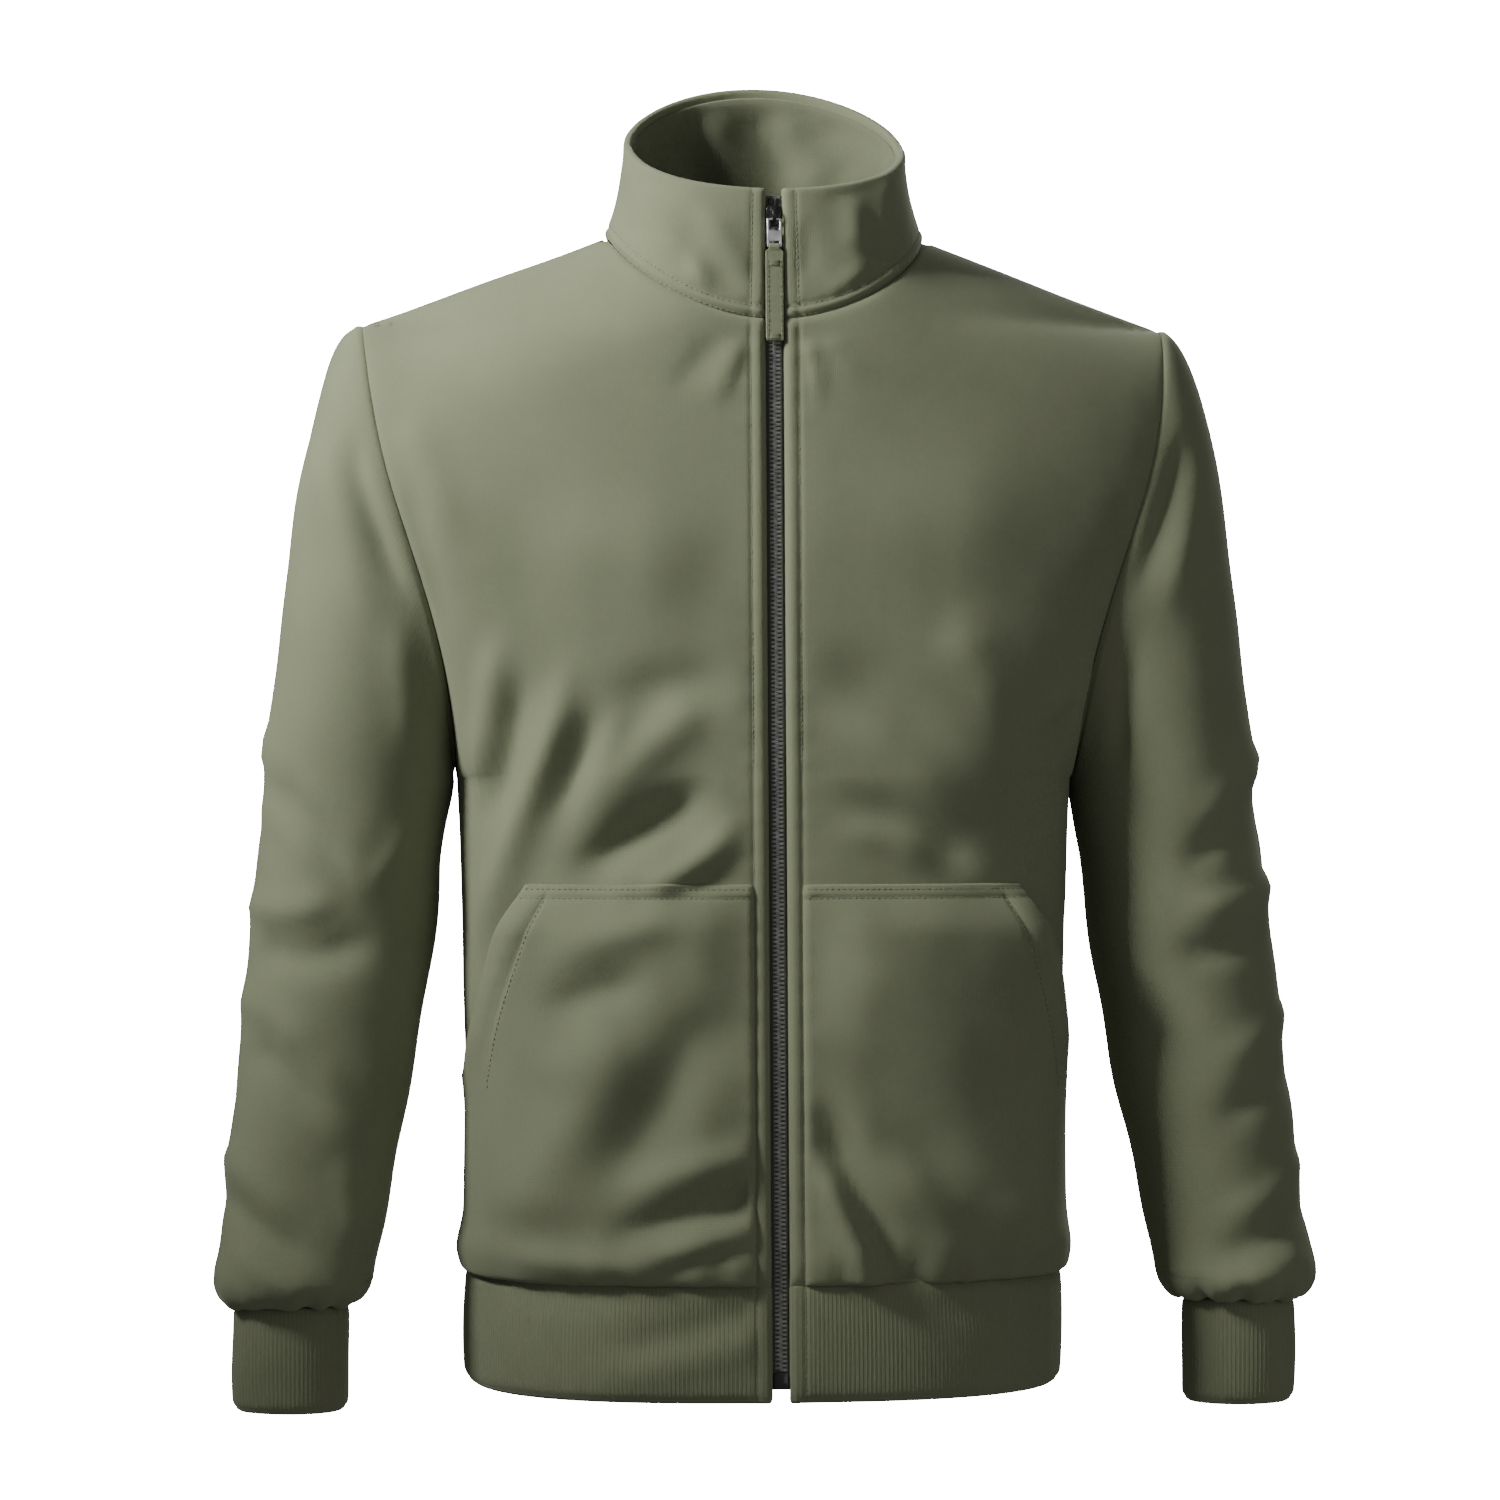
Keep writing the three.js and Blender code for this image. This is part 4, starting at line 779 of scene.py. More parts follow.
end = np.minimum(at, at[-1] - at)[:, None]
relief = relief * mix(0.4, 1, smooth(end / 18)) + groove(end, 1.0, 1.4) + groove(end - TOPSTITCH, 0.7, 1.4)
p = p + n * relief[..., None]
uv = np.stack([along, p[..., 2]], -1)
piece = cloth_shell("waistband_knit", p, n, 3.0, RIB, uv=uv)
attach(piece, "jacket")
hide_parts("waistband")
waist_p, waist_n, waist_at = p, n, at

# ---------------------------------------------------------------- collar

COLLAR_FOLDS = [
    ([(-62, 10), (-40, -18), (-20, -44)], -2.6, 8, 8, (.35, .3)),
    ([(-50, 14), (-28, -12), (-14, -34)], 2.2, 7, 7, (.35, .3)),
    ([(-36, -46), (-44, -34), (-52, -12)], 2.2, 5, 5, (.25, .4)),
    ([(-30, -52), (-38, -44), (-58, -38)], -2.0, 4, 4, (.25, .4)),
    ([(-78, 30), (-68, 0), (-58, -28)], 2.6, 11, 10, (.35, .35)),
    ([(-88, 36), (-86, 10), (-80, -14)], -1.6, 8, 8, (.35, .35)),
    ([(40, 22), (50, 2), (44, -22)], 2.0, 8, 8, (.35, .35)),
    ([(54, 14), (62, -2), (60, -20)], -2.2, 5, 6, (.35, .35)),
    ([(72, 40), (70, 16), (64, -12)], 2.2, 8, 8, (.35, .35)),
    ([(30, -46), (46, -34), (60, -12)], 1.6, 6, 6, (.35, .35)),
    ([(16, 6), (20, -14), (18, -36)], -1.4, 6, 6, (.35, .35)),
]

turns = merged(np.degrees(math.asin(ZIP_EDGE / NECK_X)) + np.array([0, .6, 1.2, 2, 3, 4, 4.8, 5.6, 6.6, 8]),
               np.arange(12, 174, 2.4), [180])
turns = np.concatenate([turns, (360 - turns[::-1])[1:]])
angle = np.radians(turns)[:, None]
COLLAR_SHARES = np.array([0, .02, .045, .075, .1, .125, .15, .18, .22, .27, .33, .4, .47, .54, .61, .68, .75, .81, .87,
                          .92, .96, 1.0])
a, h = np.broadcast_arrays(angle, COLLAR_SHARES[None])
p = collar_point(a, h.copy())
p[:, 0, 2] += 0.2
n = grid_normals(p, False, np.stack([0 * a, 0 * a - 14, p[..., 2]], -1))
front_part = smooth((np.cos(a) + 0.15) / 0.3)
length = np.linalg.norm(p[:, -1] - p[:, 0], axis=-1)[:, None]
from_seam = h * length
relief = all_folds(p[..., 0], p[..., 2], COLLAR_FOLDS) * front_part + waves(a * 95, from_seam, 31, 60, 0.8)
relief = relief * smooth((from_seam - 7) / 9) * smooth((length - from_seam) / 9 + 0.15)
edge = np.minimum(np.degrees(a) - turns[0], turns[-1] - np.degrees(a)) * 1.7
relief = relief * mix(0.3, 1, smooth(edge / 14))
relief += groove(from_seam - 1.2, 0.9, 1.1) + groove(from_seam - 7.4, 0.9, 1.1) + ridge(from_seam - 4.3, 0.7, 2.4)
relief += groove(from_seam, 1.3, 1.2) + groove(edge, 1.1, 1.3) + groove(edge - TOPSTITCH, 0.6, 1.3)
relief += 0.25 * np.sin(a * 95 * 2 * np.pi / 11) * np.exp(-((from_seam - 9) / 4) ** 2)
p = p + n * relief[..., None]
collar_grid, collar_normals = p.copy(), n.copy()
# the cloth turns over at the top edge and runs down inside
fold_radius = 2.9
top, top_n = p[:, -1], unit(n[:, -1])
rise = unit(p[:, -1] - p[:, -4])
rim_p, rim_n = [], []
for turn in np.linspace(0, np.pi, 9)[1:]:
    d = top_n * math.cos(turn) + rise * math.sin(turn)
    rim_p.append(top - top_n * fold_radius + d * fold_radius)
    rim_n.append(d)
for down in (2.5, 5.0, 7.5):
    rim_p.append(rim_p[7] - rise * down)
    rim_n.append(-top_n)
p = np.concatenate([p, np.stack(rim_p, 1)], 1)
n = np.concatenate([n, np.stack(rim_n, 1)], 1)
run = np.concatenate([np.zeros((len(p), 1)), np.cumsum(np.linalg.norm(np.diff(p, axis=1), axis=-1), 1)], 1)
uv = np.stack([np.repeat(a[:, :1] * 95, p.shape[1], 1), run], -1)
piece = cloth_shell("collar_outside", p, n, 2.2, FLEECE, uv=uv)
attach(piece, "jacket")
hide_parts("collar_outer")

LINING_FOLDS = [
    ([(-70, 74), (-42, 50), (-30, 20)], 3.2, 12, 10, (.3, .3)),
    ([(-44, 88), (-18, 56), (-8, 22)], -3.2, 12, 10, (.3, .3)),
    ([(-4, 96), (10, 66), (28, 34)], 3.2, 11, 12, (.3, .3)),
    ([(18, 92), (34, 62), (52, 34)], -3.0, 10, 10, (.3, .3)),
    ([(44, 86), (56, 62), (66, 40)], 2.4, 9, 9, (.3, .3)),
]
inner_turns = merged(np.degrees(math.asin(9.0 / NECK_X)) + np.array([0, 1, 2.2, 4]), np.arange(12, 176, 3), [180])
inner_turns = np.concatenate([inner_turns, (360 - inner_turns[::-1])[1:]])
heights = np.linspace(0.04, 0.96, 20)
a, h = np.broadcast_arrays(np.radians(inner_turns)[:, None], heights[None])
p = collar_point(a, h.copy())
n = grid_normals(p, False, np.stack([0 * a, 0 * a - 14, p[..., 2]], -1))
back_part = smooth((-np.cos(a) + 0.1) / 0.3)
relief = all_folds(p[..., 0], p[..., 2], LINING_FOLDS) * back_part * 0.7 + waves(a * 95, h * 60, 37, 55, 0.8)
relief = 1.8 * relief * smooth((1 - h) / 0.2) - 5.3
p = p + n * relief[..., None]
uv = np.stack([a * 95 + 700, h * 62], -1)
piece = cloth_shell("collar_lining", p, n, 1.8, FACING, uv=uv)
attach(piece, "jacket")
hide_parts("collar_inner")

a, h = np.broadcast_arrays(np.radians(np.linspace(92, 268, 90))[:, None],
                           np.array([.035, .05, .08, .11, .14, .155])[None])
p = collar_point(a, h.copy())
n = grid_normals(p, False, np.stack([0 * a, 0 * a - 14, p[..., 2]], -1))
p = p - n * (7.9 - 0.5 * np.sin(np.pi * (h - .035) / .12))[..., None]
piece = cloth_shell("neck_tape_weave", p, n, 0.7, TAPE, uv=np.stack([a * 95, h * 62], -1))
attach(piece, "jacket")
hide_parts("neck_tape")

# ---------------------------------------------------------------- sleeves and cuffs

BICEP_IN = np.array([199.0, -385.0])
BICEP_OUT = np.array([199 + 116 * math.cos(0.36), -385 + 116 * math.sin(0.36)])
END_IN = 98.0
CUFF_X, CUFF_Y = 290.0, -47.0

# (x from the middle of the jacket, z) on the front of each sleeve
SLEEVE_FOLDS_RIGHT = [
    ([(-258, -120), (-243, -170), (-214, -236)], -4.6, 8, 9, (.3, .35)),
    ([(-272, -118), (-262, -176), (-236, -250)], 3.4, 12, 9, (.35, .35)),
    ([(-228, -230), (-222, -280), (-216, -330)], 2.6, 10, 9, (.35, .35)),
    ([(-316, -300), (-296, -330), (-262, -372)], 4.6, 11, 9, (.2, .35)),
    ([(-300, -326), (-276, -362), (-246, -404)], -4.2, 9, 9, (.3, .35)),
    ([(-318, -352), (-296, -362), (-268, -396)], 2.6, 8, 8, (.25, .35)),
    ([(-322, -408), (-290, -414), (-256, -404)], 5.4, 11, 8, (.2, .35)),
    ([(-314, -431), (-282, -440), (-232, -427)], -5.4, 10, 11, (.25, .3)),
    ([(-244, -400), (-228, -380), (-216, -352)], 2.8, 8, 8, (.35, .35)),
    ([(-330, -470), (-300, -476), (-270, -500)], 3.0, 10, 9, (.2, .4)),
    ([(-318, -492), (-294, -510), (-262, -548)], -4.2, 9, 10, (.3, .35)),
    ([(-300, -480), (-276, -498), (-250, -532)], 3.0, 9, 9, (.35, .35)),
    ([(-334, -552), (-310, -578), (-276, -600)], 3.6, 10, 9, (.2, .35)),
    ([(-334, -578), (-306, -604), (-262, -622)], -4.0, 8, 9, (.2, .35)),
    ([(-330, -612), (-300, -632), (-266, -640)], 2.6, 7, 6, (.25, .3)),
    ([(-262, -556), (-254, -590), (-250, -618)], 2.4, 9, 9, (.3, .35)),
]
SLEEVE_FOLDS_LEFT = [
    ([(254, -116), (240, -170), (216, -232)], -3.8, 8, 8, (.3, .35)),
    ([(268, -118), (258, -176), (236, -248)], 2.8, 10, 9, (.35, .35)),
    ([(222, -236), (216, -290), (214, -340)], -3.0, 8, 8, (.35, .35)),
    ([(312, -310), (288, -340), (256, -366)], 4.2, 11, 10, (.2, .35)),
    ([(306, -336), (280, -366), (244, -392)], -3.8, 9, 10, (.25, .35)),
    ([(318, -392), (288, -408), (246, -412)], 4.6, 10, 9, (.2, .35)),
    ([(314, -420), (278, -438), (240, -436)], -4.4, 9, 10, (.25, .35)),
    ([(324, -470), (300, -492), (262, -512)], 3.4, 11, 10, (.2, .4)),
    ([(322, -504), (296, -528), (258, -546)], -3.8, 10, 10, (.25, .4)),
    ([(334, -560), (304, -586), (264, -600)], 3.8, 10, 9, (.2, .35)),
    ([(332, -590), (300, -612), (256, -622)], -3.8, 8, 9, (.2, .35)),
    ([(326, -618), (298, -634), (262, -640)], 2.4, 6, 6, (.25, .3)),
]
SLEEVE_FOLDS_BACK = [
    ([(300, -310), (270, -340), (232, -350)], 3.6, 12, 12, (.25, .35)),
    ([(308, -360), (280, -392), (240, -404)], 4.2, 12, 11, (.25, .35)),
    ([(306, -384), (276, -418), (236, -430)], -4.4, 10, 10, (.25, .35)),
    ([(318, -450), (286, -478), (246, -486)], 3.2, 12, 11, (.25, .4)),
    ([(330, -560), (300, -588), (262, -606)], 3.0, 10, 9, (.25, .4)),
    ([(328, -590), (300, -612), (262, -626)], -3.0, 8, 8, (.25, .4)),
]


def sleeve_rings():
    """Ring by ring from the armhole to the cuff: outer and inner point, depths, middle's y, bow."""
    rings = []
    for share in np.concatenate([[0, .006, .014, .025, .04, .06], np.linspace(0.085, 1, 34)]):
        drop, turn = share ** 1.5, share ** 1.6
        rings.append((mix(SHOULDER_X, BICEP_OUT[0], drop ** 0.43), mix(SHOULDER_Z, BICEP_OUT[1], drop),
                      mix(UNDERARM_X, BICEP_IN[0], turn), mix(UNDERARM_Z, BICEP_IN[1], turn),
                      64, mix(60, 64, share), SEAM_Y, 5 * (1 - share)))
    middle = (BICEP_IN + BICEP_OUT) / 2
    for share in np.linspace(0, 1, 56)[1:]:
        cx, cz = mix(middle[0], UNDERARM_X + END_IN, share ** 1.25), mix(middle[1], -634, share)
        half = mix(116, 94, share ** 1.4) / 2
        tilt = mix(0.36, 0.06, smooth(share * 2.5))
        reach = mix(64, 46, share ** 0.8)
        dx, dz = math.cos(tilt) * half, math.sin(tilt) * half
        rings.append((cx + dx, cz + dz, cx - dx, cz - dz, reach, reach, SEAM_Y - 42 * share ** 1.3, 0))
    for share in np.linspace(0, 1, 13)[1:]:
        turn = share * np.pi / 2
        half, reach = mix(34.7, 47, math.cos(turn)), mix(29, 46, math.cos(turn))
        cx, z = mix(UNDERARM_X + END_IN, CUFF_X, share), -651.6 + 17.6 * (1 - math.sin(turn))
        rings.append((cx + half, z, cx - half, z, reach, reach, CUFF_Y, 0))
    return np.array(rings)


def sleeve(side, hand):
    rings = sleeve_rings()
    turn = np.linspace(0, 2 * np.pi, 133)[:-1][:, None]
    across = (1 + np.cos(turn)) / 2
    ox, oz, ix, iz, front, back, cy, bow = (rings[:, k][None] for k in range(8))
    x = mix(ix, ox, across) + bow * np.sin(2 * np.pi * (1 - across))
    z = mix(iz, oz, across)
    y = cy - np.where(np.sin(turn) >= 0, front, back) * np.sin(turn)
    p = np.stack([x, y, z], -1)
    soft = p.copy()
    for _ in range(6):
        soft[:, 1:-1] = (soft[:, :-2] + 2 * soft[:, 1:-1] + soft[:, 2:]) / 4
    p[:, 3:-14] = soft[:, 3:-14]
    centre = p.mean(0, keepdims=True)
    n = grid_normals(p, True, centre)
    mid = centre[0]
    run = np.concatenate([[0], np.cumsum(np.linalg.norm(np.diff(mid, axis=0), axis=1))])
    seam_gap = np.cumsum(np.concatenate([np.zeros((len(turn), 1)), np.linalg.norm(np.diff(p, axis=1), axis=-1)], 1), 1)
    face = np.sin(turn) * np.ones_like(x)
    in_front, behind = smooth((face + 0.25) / 0.5), smooth((-face + 0.25) / 0.5)
    folds = SLEEVE_FOLDS_LEFT if side > 0 else SLEEVE_FOLDS_RIGHT
    relief = all_folds(x * side, z, folds) * in_front + all_folds(x, z, SLEEVE_FOLDS_BACK) * behind
    relief += waves(turn * 52 * np.ones_like(x), z, 41 + side, 90, 1.0)
    relief = relief * smooth(seam_gap / 18)
    end_gap = seam_gap[:, -1:] - seam_gap
    r = np.random.default_rng(50 + side)
    pleat = sum(np.sin(turn * r.integers(7, 22) + r.uniform(0, 6.28)) for _ in range(5)) * 0.55
    relief += pleat * np.exp(-((end_gap - 8) / 15) ** 2) + ridge(end_gap - 22, 1.6, 14)
    relief += groove(seam_gap, mix(0.5, 1.3, smooth((-130 - z) / 130)), 1.8) + groove(end_gap, 1.5, 2.2)
    p = p + n * relief[..., None]
    mirrored(p, n, side)
    uv = np.stack([turn * 52 * np.ones_like(x) + 1500, -run[None] * np.ones_like(x)], -1)
    piece = cloth_shell(f"sleeve_{hand}_cloth", p, n, 2.4, FLEECE, closed=True, uv=uv)
    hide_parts(f"sleeve_{hand}")
    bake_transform(piece)
    return piece


def cuff(side, hand):
    count = 536
    t = np.linspace(0, 2 * np.pi, 2001)
    ex, ey = 34.7 * np.cos(t), -29 * np.sin(t)
    run = np.concatenate([[0], np.cumsum(np.hypot(np.diff(ex), np.diff(ey)))])
    at = np.linspace(0, run[-1], count + 1)[:-1]
    turn = np.interp(at, run, t)[:, None]
    up = merged([0, .8, 1.8, 3, 5], np.arange(9, 54, 6), 62 - np.array([0, .8, 1.8, 3, 5]))[None]
    x, y = CUFF_X + 34.7 * np.cos(turn) + 0 * up, CUFF_Y - 29 * np.sin(turn) + 0 * up
    p = np.stack([x, y, -714 + up + 0 * x], -1)
    n = grid_normals(p, True, np.array([CUFF_X, CUFF_Y, -683]))
    pitch = run[-1] / 77
    relief = ribs(at, pitch, 0.24)[:, None] * smooth(up / 3) * smooth((62.5 - up) / 3)
    relief = relief + waves(at[:, None] + 0 * up, up + 0 * x, 61 + side, 70, 0.7) + 0.9 * np.sin(np.pi * up / 62)
    relief += groove(up, 2.2, 2.4) + groove(62 - up, 1.2, 2.4)
    p = p + n * relief[..., None]
    mirrored(p, n, side)
    uv = np.stack([at[:, None] + 0 * up, up + 0 * x], -1)
    piece = cloth_shell(f"cuff_{hand}_knit", p, n, 3.0, RIB, closed=True, uv=uv)
    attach(piece, f"sleeve_{hand}")
    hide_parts(f"cuff_{hand}")


for hand, side in (("left", 1), ("right", -1)):
    sleeve(side, hand)
    cuff(side, hand)

# ---------------------------------------------------------------- pockets

POCKET_TOP, POCKET_START = -397.0, 15.4
POCKET_TOP_EDGE, MOUTH_DROP, FACING_WIDTH = 149.0, 118, 14.4
POCKET_LEVELS = HEM_SEAM + 1.2 + merged([0, .8, 1.8, 3, 5, 8], np.arange(12, 222, 4.6),
                                        235.8 - np.array([0, .8, 1.8, 2.6, 3.6, 5, 6.4, 7.4, 8.6, 11]))


def pocket_edge(z):
    return mix(POCKET_TOP_EDGE, edge_x(z) - 1, clamp((POCKET_TOP - z) / MOUTH_DROP))


def pocket_room(x, share, z):
    mouth = 6 * smooth((share - 0.6) / 0.4)
    return ((9 + mouth) * smooth((POCKET_TOP - z) / 30) * smooth((z - HEM_SEAM) / 50)
            * smooth((x - 17) / 36) * smooth((edge_x(z) - x) / 34))


def pocket(side, hand):
    distances = merged([0, 1, 2.2, 4, 7], np.arange(11, 128, 4),
                       149 - 17 - np.array([0, .8, 1.8, 3, 6, 9, 12, 13.4, 14.6, 15.8, 17.2]))
    shares = (distances / distances[-1])[:, None]
    z, shares = np.broadcast_arrays(POCKET_LEVELS[None], shares)
    x = mix(POCKET_START, pocket_edge(z), shares)
    y = body_y(x, z, True)
    p = np.stack([x, y, z], -1)
    n = grid_normals(p, False, np.stack([0 * x, 0 * x + SEAM_Y, z], -1))
    sewn = mix(0.5, 1.6, smooth((x / edge_x(z) - 0.6) / 0.35))
    from_mouth = (1 - shares) * (pocket_edge(z) - POCKET_START)
    from_top, from_bottom = POCKET_TOP - z, z - HEM_SEAM
    relief = front_relief(np.maximum(x, 16.5), z, side)
    lift = pocket_room(x, shares, z) * 0.75 + sewn + 2.3
    on_mouth = smooth(from_top / 12) * smooth((MOUTH_DROP - from_top) / 30)
    lift += groove(from_top, 1.2, 1.3) + groove(from_top - 2.2, 0.6, 1.0) + groove(from_top - 7.6, 0.7, 1.1)
    lift += (groove(from_mouth - FACING_WIDTH, 1.3, 1.4) * on_mouth + groove(from_mouth, 1.0, 1.3)
             + groove(from_bottom, 1.6, 2.4))
    lift += (on_mouth * (ridge(from_mouth - 8, 0.8, 4) + 2.2 * smooth((26 - from_mouth) / 22))
             + groove(x - POCKET_START, 1.2, 1.4))
    lift += 0.25 * np.sin(z * 2 * np.pi / 13) * np.exp(-((from_mouth - 12) / 6) ** 2) * on_mouth
    p = p + n * (relief + lift)[..., None]
    mirrored(p, n, side)
    uv = np.stack([x * side, z], -1)
    piece = cloth_shell(f"pocket_{hand}_patch", p, n, 2.2, FLEECE, uv=uv)
    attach(piece, "jacket")
    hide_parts(f"pocket_{hand}")
    return p, n, distances


def grid_line(p, n, column=None, row=None, lift=0.0):
    """Path along a grid between columns or rows, for thread."""
    if column is not None:
        k = int(column)
        t = column - k
        a, b = mix(p[k], p[min(k + 1, len(p) - 1)], t), mix(n[k], n[min(k + 1, len(p) - 1)], t)
    else:
        k = int(row)
        t = row - k
        a, b = mix(p[:, k], p[:, min(k + 1, p.shape[1] - 1)], t), mix(n[:, k], n[:, min(k + 1, p.shape[1] - 1)], t)
    return a + b * lift, unit(b)


def thread_piece(name, parts, body="jacket"):
    points, faces = joined(parts)
    piece = new_piece(name, points, faces, points[:, [0, 2]], THREAD)
    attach(piece, body)
    return piece


for hand, side in (("left", 1), ("right", -1)):
    p, n, distances = pocket(side, hand)
    parts = []
    for depth in (2.2, 7.6):
        row = np.interp(POCKET_TOP - depth, POCKET_LEVELS, np.arange(len(POCKET_LEVELS)))
        path, normals = grid_line(p, n, row=row, lift=0.1)
        parts += stitches(path[1:-1], normals[1:-1])
    column = np.interp(distances[-1] - FACING_WIDTH, distances, np.arange(len(distances)))
    path, normals = grid_line(p, n, column=column, lift=0.1)
    span = (POCKET_LEVELS < POCKET_TOP - 8) & (POCKET_LEVELS > POCKET_TOP - 124)
    parts += stitches(path[span], normals[span])
    line = np.arange(POCKET_TOP + 4, -66, 1.5)
    path, normals = front_point(14.6, line, side, 0.1)
    parts += stitches(path, normals)
    rows = np.arange(HEM_SEAM + 3, POCKET_TOP - 2, 1.5)
    path, normals = front_point(14.2, rows, side, 0.1)
    parts += stitches(path, normals)
    low = waist_p[:, 2:-1]
    k = np.interp(TOPSTITCH, waist_at, np.arange(len(waist_at)))
    k = k if side > 0 else len(waist_at) - 1 - k - 1e-6
    path, normals = grid_line(low, waist_n[:, 2:-1], column=k, lift=0.1)
    parts += stitches(path, normals)
    thread_piece(f"topstitch_{hand}", parts)

parts = []
real = np.linalg.norm(collar_grid[:, -1] - collar_grid[:, 0], axis=-1)
for away in (1.3, 7.4):
    path, normals = [], []
    for k in range(len(collar_grid)):
        row = np.interp(away / real[k], COLLAR_SHARES, np.arange(len(COLLAR_SHARES)))
        j = int(row)
        path.append(mix(collar_grid[k, j], collar_grid[k, j + 1], row - j) + collar_normals[k, j] * 0.1)
        normals.append(collar_normals[k, j])
    parts += stitches(np.array(path), np.array(normals))
for column in (np.interp(TOPSTITCH / 1.7 + turns[0], turns, np.arange(len(turns))),
               np.interp(turns[-1] - TOPSTITCH / 1.7, turns, np.arange(len(turns)))):
    path, normals = grid_line(collar_grid[:, 4:], collar_normals[:, 4:], column=column, lift=0.1)
    parts += stitches(path, normals)
thread_piece("topstitch_collar", parts)

# ---------------------------------------------------------------- zip

ZIP_TURN = -math.atan(ZIP_SLOPE)
zip_c, zip_s = math.cos(ZIP_TURN), math.sin(ZIP_TURN)
TAPE_FRONT, TAPE_THICK = 3.8, 0.8
ZIP_BOTTOM = -721 / zip_c + 7
TEETH_Y = TAPE_FRONT + TAPE_THICK / 2
TEETH_TOP = -14 + 6.5 + 0.3
TEETH_BOTTOM = ZIP_BOTTOM + 10.3


def in_jacket(points):
    """From the zip's own frame to the jacket's."""
    p = np.asarray(points, float)
    return np.stack([p[..., 0], ZIP_TOP_Y + p[..., 1] * zip_c - p[..., 2] * zip_s,
                     ZIP_TOP_Z + p[..., 1] * zip_s + p[..., 2] * zip_c], -1)


def zip_piece(name, parts, material, body, node_name):
    points, faces = joined(parts)
    piece = new_piece(name, in_jacket(points), faces, points[:, [0, 2]], material)
    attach(piece, body)
    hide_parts(node_name)
    return piece


for hand, side in (("left", 1), ("right", -1)):
    # woven tape with a raised cord edge beside the teeth
    across = np.array([0.25, 1.5, 3.0, 3.3, 3.8, 4.3, 4.8, 5.4, 7, 10, 14, 16.4, 17.0])
    lift = np.interp(across, [3.0, 3.3, 3.8, 4.3, 4.8, 5.4, 17.0], [0.1, 0.45, 0.7, 0.45, 0.12, 0, 0])
    levels = np.linspace(ZIP_BOTTOM, -2, 240)
    p = np.stack(np.broadcast_arrays(across[:, None] * side, TAPE_FRONT - lift[:, None], levels[None]), -1)
    n = np.zeros_like(p)
    n[..., 1] = -1
    q = in_jacket(p)
    m = unit(in_jacket(p + n) - q)
    piece = cloth_shell(f"zip_tape_{hand}_weave", q, m, 0.7, TAPE, uv=p[..., [0, 2]])
    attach(piece, "jacket")
    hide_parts(f"zip_tape_{hand}")

    pitch = 2.6
    base_p, base_f = rounded_block([-0.95, -1.3, -0.58], [1.15, 1.3, 0.58], 0.28, 1)
    arm_p, arm_f = rounded_block([0.7, -1.15, -0.85], [3.5, 1.15, 0.85], 0.35, 1)
    parts = []
    count = int((TEETH_TOP - TEETH_BOTTOM - 1.6) / pitch)
    for k in range(count):
        z = TEETH_BOTTOM + 0.9 + k * pitch + (pitch / 2 if side < 0 else 0)
        for bp, bf in ((base_p, base_f), (arm_p, arm_f)):
            q = bp * np.array([side, 1, 1]) + np.array([0, TEETH_Y, z])
            parts.append((q, bf if side > 0 else bf[:, ::-1]))
    zip_piece(f"zip_teeth_{hand}_row", parts, TEETH, "jacket", f"zip_teeth_{hand}")

    low = np.array([0.8 * side, TEETH_Y - 1.35, TEETH_TOP + 0.3])
    high = np.array([3.6 * side, TEETH_Y + 1.35, TEETH_TOP + 3.9])
    zip_piece(f"top_stop_{hand}_metal", [rounded_block(low, high, 0.5, 3)],
              BLACK, "jacket", f"top_stop_{hand}")

pin_low = TEETH_BOTTOM - 15 + 0.9 + 6
zip_piece("insertion_pin_metal", [
    rounded_block([1.1, TEETH_Y - 1, pin_low], [3.1, TEETH_Y + 1, TEETH_BOTTOM - 0.3], 0.5, 3)],
          BLACK, "jacket", "insertion_pin")
box_low = ZIP_BOTTOM
zip_piece("retainer_box_metal", [
    rounded_block([-4.4, TEETH_Y - 2.2, box_low], [4.4, TAPE_FRONT - 0.3, box_low + 10], 0.7, 3),
    rounded_block([-4.4, TAPE_FRONT + 1.1, box_low], [4.4, TEETH_Y + 2.2, box_low + 10], 0.5, 3),
    rounded_block([-0.5, TEETH_Y - 2, box_low], [0.5, TEETH_Y + 2, box_low + 9.6], 0.2, 1),
    rounded_block([-3.6, TEETH_Y - 2.45, box_low + 2], [3.6, TEETH_Y - 2, box_low + 8], 0.25, 2),
], BLACK, "jacket", "retainer_box")

# slider body: shaped plates, flanges, post and bridge
SLIDER_Z = -14.0
SLIDER_FRONT = TEETH_Y - 1.3 - 0.3 - 1.1
RISE = 4.6
SLIDER_HALF = 4.8


def plate(y0, y1, waist=0.78):
    """Slider plate: broad shoulders at the top, narrower tail, rounded outline."""
    outline = []
    for t in np.linspace(0, 2 * np.pi, 49)[:-1]:
        sx, sz = np.cos(t), np.sin(t)
        r = (abs(sx) ** 4 + abs(sz) ** 4) ** -0.25
        z = sz * r * 6.5
        outline.append((sx * r * SLIDER_HALF * mix(waist, 1, smooth((z + 6.5) / 9)), z))
    outline = np.array(outline)
    rings = []
    for scale, y in ((0.0, y0), (0.9, y0), (0.97, mix(y0, y1, 0.12)), (1, mix(y0, y1, 0.4)), (1, mix(y0, y1, 0.6)),
                     (0.97, mix(y0, y1, 0.88)), (0.9, y1), (0.0, y1)):
        rings.append(np.stack([outline[:, 0] * scale, np.full(48, y), outline[:, 1] * scale + SLIDER_Z], -1))
    p = np.stack(rings, 1)
    return p.reshape(-1, 3), grid_faces(48, len(rings), True)[:, ::-1]


